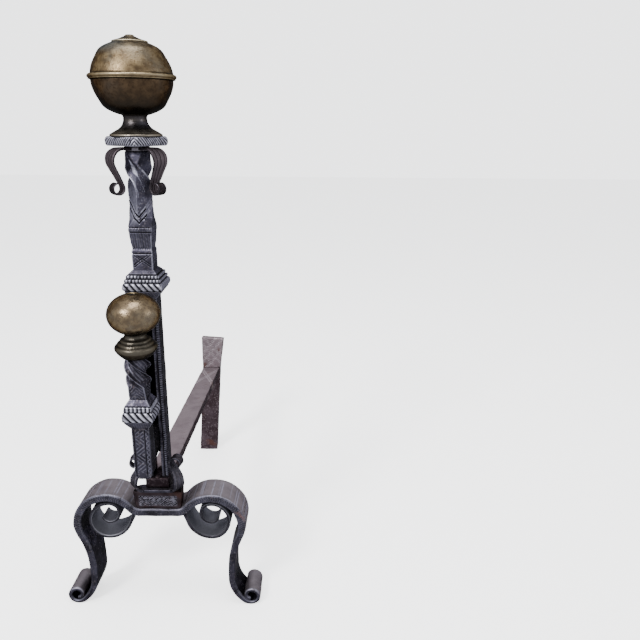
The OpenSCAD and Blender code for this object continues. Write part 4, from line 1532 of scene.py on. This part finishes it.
@dataclass
class FrontBaluster:
    """The small baluster with its collar, twisted stem, saucer and ball."""

    shop: Shop
    panel_half: float = 9.0
    collar_half: float = 16.0
    stem_half: float = 8.6
    under_height: float = 9.0
    rope_height: float = 10.0
    dentil_height: float = 6.5
    rope_pitch: float = 6.6
    dentil_pitch: float = 4.1
    hatch_pitch: float = 4.2
    hatch_turn: float = 9.5
    tooth_pitch: float = 5.2
    scratch_pitch: float = 2.4
    chevron_pitch: float = 3.4
    ball_radius: float = 26.0
    ball_half_height: float = 20.8
    seat_radius: float = 9.0
    crater_radius: float = 5.6

    def panel_pattern(self, foot: float, top: float) -> Pattern:
        """Border lines and a herringbone on the front, zigzag down its right edge, ruled sides.

        Args:
            foot: height of the panel's foot in millimetres.
            top: height of its top.

        Returns:
            The pattern.
        """
        def pattern(spot: Spot) -> Array:
            """The cut at each spot, or the rub below 0.

            Args:
                spot: the points on the bar.

            Returns:
                The cut or rub at each spot.
            """
            z, a = spot.along, spot.across
            span = within(z, foot + 3, top - 1.5)
            lines = np.maximum(groove(a + 6.6, 0.7), groove(a - 4.4, 0.8)) * span
            lean = np.where(np.floor((z - foot) / self.hatch_turn) % 2 == 0, 1.0, -1.0)
            # the herringbone is drawn coarser than the chased lines of the real panel
            hatch = stripes((z + lean * 0.9 * (a + 1)) / self.hatch_pitch, 0.4)
            hatch = hatch * within(a, -5.0, 2.8) * within(z, foot + 8, top - 3)
            teeth = groove(a - 6.4 - 1.3 * zigzag(z, self.tooth_pitch), 0.8) * span
            ruled = 0.7 * (groove(a + 6.4, 0.5) * span) * on(spot, Face.RIGHT, Face.LEFT)
            front = np.where(lines > 0.1, lines, -0.33 * np.maximum(hatch, teeth))
            return np.where(on(spot, Face.FRONT), front, ruled)

        return pattern

    def collar_levels(self, foot: float) -> tuple[float, float, float]:
        """Heights of the rope's foot and top, and of the dentils' top.

        Args:
            foot: the height of the lowest edge.

        Returns:
            The heights.
        """
        rope_low = foot + self.under_height
        rope_high = rope_low + self.rope_height
        return rope_low, rope_high, rope_high + self.dentil_height

    def collar_pattern(self, foot: float) -> Pattern:
        """Scratched under slope, rope, a row of dentils and a ruled top slope.

        Args:
            foot: height of the collar's foot in millimetres.

        Returns:
            The pattern.
        """
        rope_low, rope_high, dentil_high = self.collar_levels(foot)

        def pattern(spot: Spot) -> Array:
            """The cut at each spot, or the rub below 0.

            Args:
                spot: the points on the bar.

            Returns:
                The cut or rub at each spot.
            """
            z, a = spot.along, spot.across
            rope = strands((a + 0.9 * (z - rope_low)) / self.rope_pitch) * within(z, rope_low, rope_high)
            dentils = strands(a / self.dentil_pitch) * within(z, rope_high + 1.2, dentil_high - 1.3, 0.3)
            scratches = 0.3 * stripes(a / self.scratch_pitch, 0.3) * within(z, foot + 1.5, rope_low - 2)
            return deepest(rope, 0.9 * dentils, scratches,
                           0.9 * rings(z, (rope_low - 0.2, rope_high + 0.4, dentil_high - 0.3), 0.7))

        return pattern

    def ironwork(self) -> None:
        """Makes the panelled shaft, the collar and the twisted stem."""
        shop = self.shop
        foot = shop.span("baluster_post")[0]
        panel_top, stem_foot = shop.span("baluster_collar")
        stem_top = shop.span("saucer")[0]
        levels, halves, deep = np.array([
            (foot, 5.0, 8.0), (foot + 1.2, 6.8, 8.7), (foot + 3.5, 8.3, 9.0),
            (foot + 7, self.panel_half, 9.0), (panel_top + 1, self.panel_half, 9.0),
        ]).T
        panel = SquareForging(levels, halves, deep, self.panel_pattern(foot, panel_top), depth=0.6,
                              arris=0.7, pitch=0.55, hammer=0.15, seed=101)
        shop.put(panel.mesh(0.55), "baluster_panel_forged", "baluster_post", shop.iron, axis=shop.baluster)
        half = self.collar_half
        rope_low, rope_high, dentil_high = self.collar_levels(panel_top)
        tiers = [
            (panel_top, 9.2), (rope_low - 0.6, half - 1.4), (rope_low, half - 0.8),
            (rope_low + 0.35 * self.rope_height, half), (rope_high - 0.3 * self.rope_height, half - 0.2),
            (rope_high, half - 1.3), (rope_high + 0.1, half - 1.7), (dentil_high - 0.1, half - 2.4),
            (dentil_high, half - 3.0), (stem_foot, self.stem_half + 0.4),
        ]
        levels, halves = np.array(tiers).T
        collar = SquareForging(levels, halves, halves, self.collar_pattern(panel_top), depth=1.5, arris=0.8,
                               pitch=0.5, hammer=0.14, seed=111,
                               painted_highlight=lit_band_highlight(rope_low, dentil_high, 0.5))
        shop.put(collar.mesh(0.5), "baluster_collar_forged", "baluster_collar", shop.bright_iron,
                 Slot.CHISELLED, axis=shop.baluster)
        span = stem_top - stem_foot
        levels, halves, turn, hollow = np.array([
            (stem_foot, self.stem_half, 0, 0), (stem_foot + 0.3 * span, self.stem_half, -8, 0.3),
            (stem_foot + 0.5 * span, self.stem_half + 0.9, -50, 2.0),
            (stem_top, self.stem_half + 0.9, -172, 2.1),
        ]).T
        stem = SquareForging(levels, halves, halves, self.stem_pattern(stem_foot, span), depth=0.5, arris=0.9,
                             pitch=0.55, turn=turn, hollow=hollow, hammer=0.18, rub=0.9, seed=121)
        shop.put(stem.mesh(0.5), "baluster_stem_forged", "baluster_post", shop.iron, axis=shop.baluster)

    def stem_pattern(self, foot: float, span: float) -> Pattern:
        """Small chevrons on the plain foot of the stem, faint lines up the twisted hollows.

        Args:
            foot: height of the stem's foot in millimetres.
            span: height of the stem.

        Returns:
            The pattern.
        """
        def pattern(spot: Spot) -> Array:
            """The cut at each spot, or the rub below 0.

            Args:
                spot: the points on the bar.

            Returns:
                The cut or rub at each spot.
            """
            z, share = spot.along, spot.share
            chevrons = stripes((z + 0.9 * np.abs(spot.across)) / self.chevron_pitch, 0.3)
            low = chevrons * within(z, foot + 1.5, foot + 0.32 * span) * within(np.abs(share), 0, 0.7, 0.1)
            lines = groove(share, 0.12) + groove(np.abs(share) - 0.45, 0.08)
            return np.maximum(0.6 * low, 0.5 * lines * within(z, foot + 0.45 * span, foot + span))

        return pattern

    def brasswork(self) -> None:
        """Makes the saucer and the small ball."""
        shop = self.shop
        low, high = shop.span("saucer")
        saucer = [
            (0, 0), (12.6, 0, 0.6), (14.2, 0.6, 0.2), (16.4, 2.6), (18.6, 5.2), (19.8, 7.0, 0.1),
            (20.7, 8.4, 0, 0.3), (21, 10.0, 0, 0.3), (20.8, 11.4, 0, 0.4), (20.1, 12.6, 0, 0.2),
            (18.7, 13.5, 0.7), (18.4, 14.0, 0.5), (18.0, 15.2, 0, 0.3), (17.0, 16.2, 0, 0.1),
            (15.6, 16.9, 0.7), (15.3, 17.5, 0.3), (15.0, 18.6, 0, 0.3), (13.8, 19.4), (12.4, 20.0, 0.3),
            (11.2, 21.2), (10.6, 22.8, 0, 0.1),
        ]
        lip = [(10.6, high - 0.8, 0.2), (10.9, high, 0.8), (0, high)]
        bm = Workshop.spun([*raised(saucer, low), *lip], dent=0.1, seed=131)
        shop.put(bm, "saucer_turned", "saucer", shop.saucer_brass, Slot.BRASS, Body.SMALL_BALL, shop.baluster)
        rise, seat = seat_of(self.ball_radius, self.ball_half_height, self.seat_radius)
        rim = math.degrees(math.acos(self.crater_radius / self.ball_radius))
        skin = raised(oval(self.ball_radius, self.ball_half_height, seat, rim, 44), high + rise)
        edge_r, edge_z = skin[-1]
        hollow = [(-0.5, -0.2, 0.2, 0.3), (-1.0, -1.0, 0.9), (-1.3, -2.8, 1)]
        crater = [*raised(hollow, edge_z, edge_r), (0, edge_z - 3.0, 1)]
        bm = Workshop.spun([(0, high), (8.6, high, 0.8), *skin, *crater], dent=0.14, seed=141)
        shop.put(bm, "small_ball_turned", "small_ball", shop.small_brass, Slot.BRASS, Body.SMALL_BALL,
                 shop.baluster)
        plug = [(0, -4), (4.4, -4), (4.3, -2.6), (3.3, -1.5), (1.6, -0.9), (0, -0.8)]
        plug = [(*point, 0.35, 0.2) for point in raised(plug, edge_z)]
        bm = Workshop.spun(plug, steps=32, dent=0.25, seed=151)
        shop.put(bm, "peened_tenon", "baluster_post", shop.black_iron, axis=shop.baluster)

    def build(self) -> None:
        """Makes the baluster and its bracket."""
        self.ironwork()
        self.brasswork()
        shop = self.shop
        bm = Workshop.recut("baluster_bracket", shop.post, 0.9, self.bracket_carving)
        shop.put(bm, "baluster_bracket_forged", "baluster_bracket", shop.black_iron)

    @staticmethod
    def bracket_carving(points: Array, normals: Array) -> Carving:
        """Hammer marks only."""
        moved = points + normals * (0.2 * lattice_noise(points, 9, 161))[:, None]
        return Carving(moved, np.zeros(len(points)), np.zeros(len(points)))


@dataclass
class Finial:
    """The leaf bracket, the top plate, the neck and the great ball."""

    shop: Shop
    leaf_angles: tuple[float, ...] = (-29.0, -140.0, 100.0)
    hub_height: float = 5.0
    ball_radius: float = 39.0
    ball_half_height: float = 35.0
    seat_radius: float = 13.0
    shoulder: float = 2.6
    rim_height: float = 5.2
    cap_radius: float = 15.0
    plate_reach: float = 27.0
    plate_rope_pitch: float = 3.0

    def leaf_pattern(self, spot: Spot) -> Array:
        """Three long chased grooves on the outside of a leaf arm."""
        return stripes(spot.share * 1.9, 0.16) * outer_face(spot) * within(spot.along, 16, 70, 4)

    @staticmethod
    def leaf_width(gone: Array) -> Array:
        """A leaf arm's width, widest at its bend and narrow at its curl."""
        return np.interp(gone, [0, 8, 24, 40, 55, 90], [15, 17, 20, 16, 12, 10.5])

    def leaves(self) -> None:
        """Makes the bracket: a hub and its curled arms."""
        shop = self.shop
        top = shop.span("leaf_bracket")[1]
        foot = top - self.hub_height
        whole = Workshop.spun([
            (0, foot, 0.5), (11.4, foot, 0.5), (12.2, foot + 0.8, 0, 0.4), (12.2, top - 0.6, 0, 0.2),
            (11.8, top, 0.6), (0, top, 0.6),
        ], steps=40, dent=0.2, seed=171)
        rows = BentBar((6.0, foot + self.hub_height / 2), 0, 2.6, [
            Move(0, 12, 2.4), Move(-11.2, 116, 2.3), Move(0, 20, 2.0), Move(9, 26, 1.8), Move(5.5, 260, 1.3),
        ], step=0.7).stations()
        for k, angle in enumerate(self.leaf_angles):
            arm = BentBar.mesh(rows, self.leaf_width, self.leaf_pattern, depth=0.4, arris=0.5, pitch=0.75,
                               hammer=0.22, seed=180 + k, toned=outer_face)
            turn = Matrix.Rotation(math.radians(angle), 3, "Z")
            bmesh.ops.rotate(arm, cent=(0, 0, 0), matrix=turn, verts=arm.verts)
            mesh = settle(arm, "leaf")
            whole.from_mesh(mesh)
            bpy.data.meshes.remove(mesh)
        shop.put(whole, "leaf_bracket_forged", "leaf_bracket", shop.leaf_iron, body=Body.LEAVES)

    def plate_carving(self, points: Array, normals: Array) -> Carving:
        """Rope cuts round the plate's edge that lean the other way at each corner.

        Args:
            points: the mesh's points.
            normals: the way each point faces.

        Returns:
            The carving.
        """
        low, high = self.shop.span("top_plate")
        edge = np.clip(1.4 - 1.8 * np.abs(normals[:, 2]), 0, 1)
        turn = np.degrees(np.arctan2(points[:, 1], points[:, 0])) - 281
        side = (turn % 90) - 45
        run = np.radians(side) * self.plate_reach
        rise = points[:, 2] - (low + high) / 2
        lean = np.where((turn % 180) < 90, 1.0, -1.0)
        # the rope is drawn a little coarser than the real one, so that it shows
        cords = strands((run + lean * 0.8 * rise) / self.plate_rope_pitch)
        cords = cords * edge * within(np.abs(rise), 0, (high - low) / 2 - 1.0, 0.5)
        top = facing(np.abs(normals[:, 2]))
        moved = points + normals * (0.15 * lattice_noise(points, 8, 191) - cords)[:, None]
        shrink = 1 - 0.07 * np.abs(rise / (0.5 * (high - low))) ** 3
        moved[:, :2] *= shrink[:, None]
        # the plate's top and underside are darkened as painted shade, where the neck and the bracket's hub
        # sit on them
        return Carving(moved, cords + 0.35 * top, edge * (1 - cords) ** 2 * 0.6)

    def ball(self) -> None:
        """Makes the neck, both shells and the cap."""
        shop = self.shop
        foot, neck_top = shop.span("ball_neck")
        neck = [
            (0, 0, 0.5), (24.9, 0, 0.6), (25.5, 0.5, 0, 0.5), (25.3, 1.7, 0, 0.9), (24.4, 2.4, 0.3, 0.4),
            (22.4, 3.6, 0, 0.6), (19.6, 5.2, 0, 0.4), (17.4, 6.4, 0, 0.5), (16.9, 6.6, 0.5, 0.1),
            (15.4, 7.8, 0, 0.1), (13.9, 9.3), (12.8, 11.0), (11.9, 13.0), (11.4, 15.2, 0, 0.1), (11.3, 17.4),
            (11.7, 18.8), (12.4, 19.5, 0.4),
        ]
        neck = [*raised(neck, foot), (13.0, neck_top, 0.9), (0, neck_top, 0.9)]
        ball = Body.GREAT_BALL
        bm = Workshop.spun(neck, dent=0.12, seed=201)
        shop.put(bm, "ball_neck_turned", "ball_neck", shop.neck_brass, Slot.DARK_BRASS, ball)
        rise, seat = seat_of(self.ball_radius, self.ball_half_height, self.seat_radius)
        middle = neck_top + rise
        cut = math.degrees(math.acos(self.cap_radius / self.ball_radius))
        shell = oval(self.ball_radius - 0.3, self.ball_half_height, seat, -1.9, 34, self.shoulder)
        lower = raised(shell, middle)
        lower[-1] = (*lower[-1], 0.9)
        lower = [(0, neck_top, 0.9), (12.4, neck_top, 0.9), *lower, (0, lower[-1][1], 1)]
        bm = Workshop.spun(lower, dent=0.2, seed=211)
        shop.put(bm, "ball_lower_shell", "ball_lower", shop.lower_brass, Slot.BRASS, ball)
        # the rim's cut values paint the shadow in the gap under its lip and at the seam
        rim = [
            (-0.6, -1.2, 1), (1.0, -1.1, 0.6), (1.6, -0.7, 0.1, 0.1), (1.8, -0.3, 0, 0.15), (1.5, 0.1, 0.5),
            (2.2, 0.5, 0.1), (2.7, 1.3, 0, 0.1), (2.6, 2.4, 0, 0.3), (2.0, 3.3, 0, 0.2), (1.0, 3.8, 0.1),
            (0.3, 3.95, 0.5), (-0.25, 4.5, 0.7),
        ]
        start = math.degrees(math.asin(self.rim_height / self.ball_half_height))
        dome = oval(self.ball_radius, self.ball_half_height, start, cut, 30, self.shoulder)
        top_r, top_z = dome[-1]
        upper = raised([(0, -1.2, 1), *raised(rim, 0, self.ball_radius), *dome, (0, top_z, 1)], middle)
        bm = Workshop.spun(upper, steps=128, dent=0.28, seed=221)
        shop.put(bm, "ball_upper_shell", "ball_upper", shop.ball_brass, Slot.BRASS, ball)
        low, high = shop.span("finial_cap")
        rise = high - low
        edge = [(0, -0.3), (0.5, -0.3, 0.4), (0.7, 0.5, 0, 0.5), (0.2, 1.2, 0, 0.4), (-1.4, 1.7, 0.1)]
        knob = [
            (10.5, 0.42 * rise), (7.4, 0.62 * rise), (5.2, 0.74 * rise, 0.1), (4.4, 0.84 * rise, 0, 0.1),
            (3.4, 0.95 * rise, 0, 0.2), (1.8, rise - 0.1, 0, 0.2), (0, rise, 0, 0.2),
        ]
        cap = raised([edge[0], *raised(edge[1:], 0, top_r), *knob], low)
        bm = Workshop.spun(cap, steps=96, dent=0.12, seed=231)
        shop.put(bm, "finial_cap_turned", "finial_cap", shop.ball_brass, Slot.BRASS, ball)

    def build(self) -> None:
        """Makes the whole finial."""
        shop = self.shop
        self.leaves()
        bm = Workshop.recut("top_plate", shop.post, 0.55, self.plate_carving)
        shop.put(bm, "top_plate_forged", "top_plate", shop.bright_iron, Slot.CHISELLED, Body.PLATE)
        self.ball()


@dataclass(frozen=True)
class Lamp:
    """A soft square light: its place and aim in metres from the post's foot, its side and its watts."""

    name: str
    place: tuple[float, float, float]
    aim: tuple[float, float, float]
    side: float
    watts: float


LAMPS = (
    Lamp("window", (-0.9, -1.5, 1.7), (0, 0, 0.35), 0.5, 70),
    Lamp("ceiling", (0.1, -0.3, 2.2), (0, 0, 0.2), 0.9, 34),
    Lamp("side", (1.7, -0.3, 1.0), (0, 0, 0.3), 0.6, 5),
)


@dataclass
class Studio:
    """White paper floor, soft lights and the photograph's camera."""

    post: Vector
    camera_mm: tuple[float, float, float] = (181.2, -671.4, 550.8)
    pitch: float = 16.83
    roll: float = 0.45
    yaw: float = -0.03
    focal_px: float = 660.0
    image_px: float = 640.0
    backdrop_glow: float = 2.1
    sensor_mm: float = 36.0
    floor_half: float = 6.0
    dome_radius: float = 9.0
    sky_hex: str = "f2f4f8"
    sky_strength: float = 1.35

    def camera(self) -> None:
        """Places the camera; its place is measured from the post's foot."""
        data = bpy.data.cameras.new("camera")
        data.sensor_width = self.sensor_mm
        data.lens = self.sensor_mm * self.focal_px / self.image_px
        data.clip_start = 0.01
        data.clip_end = 50
        camera = add_object("camera", data)
        camera.location = self.post + Vector(self.camera_mm) * MM
        tilt = Matrix.Rotation(math.radians(90 - self.pitch), 4, "X")
        pan = Matrix.Rotation(math.radians(self.yaw), 4, "Z")
        spin = Matrix.Rotation(math.radians(self.roll), 4, "Z")
        camera.rotation_euler = (pan @ tilt @ spin).to_euler()
        bpy.context.scene.camera = camera

    def sheet(self, name: str, bm: Mesh, material: Material) -> None:
        """Adds paper that the camera sees and that neither lights nor shades the object.

        Args:
            name: its name.
            bm: its mesh in metres, which is freed.
            material: its finish.
        """
        mesh = settle(bm, name)
        mesh.materials.append(material)
        paper = add_object(name, mesh)
        for kind in ("diffuse", "glossy", "transmission", "shadow"):
            setattr(paper, f"visible_{kind}", False)

    def paper(self) -> None:
        """Lays the paper floor and hangs the paper dome round the studio."""
        floor = bmesh.new()
        bmesh.ops.create_grid(floor, x_segments=8, y_segments=8, size=self.floor_half)
        self.sheet("paper_floor", floor, StudioPaper().build())
        dome = bmesh.new()
        bmesh.ops.create_uvsphere(dome, u_segments=48, v_segments=24, radius=self.dome_radius)
        bmesh.ops.reverse_faces(dome, faces=dome.faces)
        self.sheet("paper_dome", dome, StudioPaper("white paper backdrop", glow=self.backdrop_glow).build())

    def light(self, lamp: Lamp) -> None:
        """Hangs one light.

        Args:
            lamp: the light's own values.
        """
        data = bpy.data.lights.new(lamp.name, "AREA")
        data.size, data.energy = lamp.side, lamp.watts
        holder = add_object(lamp.name, data)
        holder.location = self.post + Vector(lamp.place)
        holder.rotation_euler = (Vector(lamp.aim) - Vector(lamp.place)).to_track_quat("-Z", "Y").to_euler()

    def build(self) -> None:
        """Sets up the whole studio."""
        self.camera()
        self.paper()
        world = bpy.data.worlds.new("studio")
        world.use_nodes = True
        sky = world.node_tree.nodes["Background"]
        sky.inputs["Color"].default_value = linear(self.sky_hex)
        sky.inputs["Strength"].default_value = self.sky_strength
        bpy.context.scene.world = world
        for lamp in LAMPS:
            self.light(lamp)


def make_finishes() -> dict[str, Material]:
    """Builds each finish once.

    Returns:
        The materials by the name of the Shop's field.
    """
    finishes: dict[str, Finish] = {
        # the plain bars: dark violet-grey scale, painted pale where they look up as light from above, bright
        # along their arrises
        "iron": ForgedIron("wrought iron hammered"),
        # the collars and the plate: lighter, with painted highlights on the collars' ridges, rubbed ridges on
        # the plate, and cuts painted black as shade
        "bright_iron": ForgedIron(
            "wrought iron chiselled and rubbed", scale_hex="2d2b33", pale_hex="4a4854", bright_hex="c2c1cf",
            rust_from=0.75),
        # the post's head: the lightest iron, a copy painted lighter so that its facets read as lit and shaded
        "head_iron": ForgedIron(
            "wrought iron facets painted bright", scale_hex="33313b", pale_hex="454350", bright_hex="c0bfd0",
            rust_from=0.75),
        # the inner scrolls: an even, flat grey with hardly a glint, deep in the arches
        "dull_iron": ForgedIron(
            "wrought iron dull grey scale", scale_hex="232126", pale_hex="35333a", tone_hex="6a6a71",
            bright_hex="7d7c86", rust_from=0.72, rough_low=0.45, rough_high=0.7),
        # the base block: brown-black, with light only on the ridges of its chiselled rows
        "rusty_iron": ForgedIron(
            "wrought iron rusted and waxed", scale_hex="231c1e", pale_hex="352d30", tone_hex="32303a",
            bright_hex="a9a8b8", rust_hex="35231f", rust_from=0.5, rough_low=0.42, rough_high=0.7),
        # the log bar and the rear upright: a warm grey-brown, painted lighter on top as a soft sheen from the
        # light above
        "bar_iron": ForgedIron(
            "wrought iron bare and waxed", scale_hex="34292d", pale_hex="483d42", tone_hex="857a7e",
            bright_hex="b5abb0", rust_hex="412a24", rust_from=0.6, rough_low=0.42, rough_high=0.68),
        # the leaf arms: brown-grey, darker than the post behind them
        "leaf_iron": ForgedIron(
            "wrought iron browned", scale_hex="231f22", pale_hex="3a3539", tone_hex="524a4e",
            bright_hex="a39ea8", rust_hex="422f2b", rust_from=0.6),
        # the peened tenon and the hidden bracket: nearly black
        "black_iron": ForgedIron(
            "wrought iron sooted", scale_hex="121114", pale_hex="1f1e22", bright_hex="45424c"),
        # the great ball's upper half and cap: brown-gold mottle, and a painted cool reflection near the cap's
        # left
        "ball_brass": AgedBrass(
            "antique spun brass", gold_hex="6e5f47", brown_hex="4f4130", grey_hex="5a554b",
            bright_hex="c6b99c", rough_low=0.3, rough_high=0.5, reflection_from_mm=606, shade_and_tarnish_low_mm=504,
            shade_and_tarnish_high_mm=514),
        # its lower half: a darker copy of the same brass, painted as in shade and reflecting a dark room,
        # blacker towards its foot, with some tarnish
        "lower_brass": AgedBrass(
            "spun brass painted in shade", gold_hex="4d3e2e", brown_hex="352a20", grey_hex="423c36",
            bright_hex="6d5e45", shade_and_tarnish_hex="27221d", shade_and_tarnish_low_mm=560, shade_and_tarnish_high_mm=580),
        # the small ball: smoother and more golden, with a sharper highlight
        "small_brass": AgedBrass(
            "antique cast brass", gold_hex="766751", brown_hex="53473a", grey_hex="69645a",
            shade_and_tarnish_low_mm=300, shade_and_tarnish_high_mm=336, rough_low=0.2, rough_high=0.36),
        # the saucer: almost black, with thin worn rims
        "saucer_brass": AgedBrass(
            "blackened cast brass", gold_hex="423d35", brown_hex="332e28", grey_hex="403e3b",
            bright_hex="6f695c", shade_and_tarnish_low_mm=300, shade_and_tarnish_high_mm=336),
        # the great ball's neck: black-brown with greyish rubbed mouldings
        "neck_brass": AgedBrass(
            "smoked cast brass", gold_hex="3a3738", brown_hex="2f2c2c", grey_hex="45444d",
            bright_hex="8f8677", shade_and_tarnish_hex="2a2622", shade_and_tarnish_low_mm=400, shade_and_tarnish_high_mm=410),
    }
    return {name: finish.build() for name, finish in finishes.items()}


def main() -> None:
    """Builds every sub-assembly in order, then the studio."""
    logging.basicConfig(level=logging.INFO, format="%(name)s: %(message)s")
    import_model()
    shop = Shop(**make_finishes())
    for assembly in (LegAssembly, BaseAssembly, TallPost, FrontBaluster, Finial):
        assembly(shop).build()
        log.info("%s done", assembly.__name__)
    Studio(shop.post).build()
    log.info("%d new pieces", shop.count)


if __name__ == "__main__":
    main()
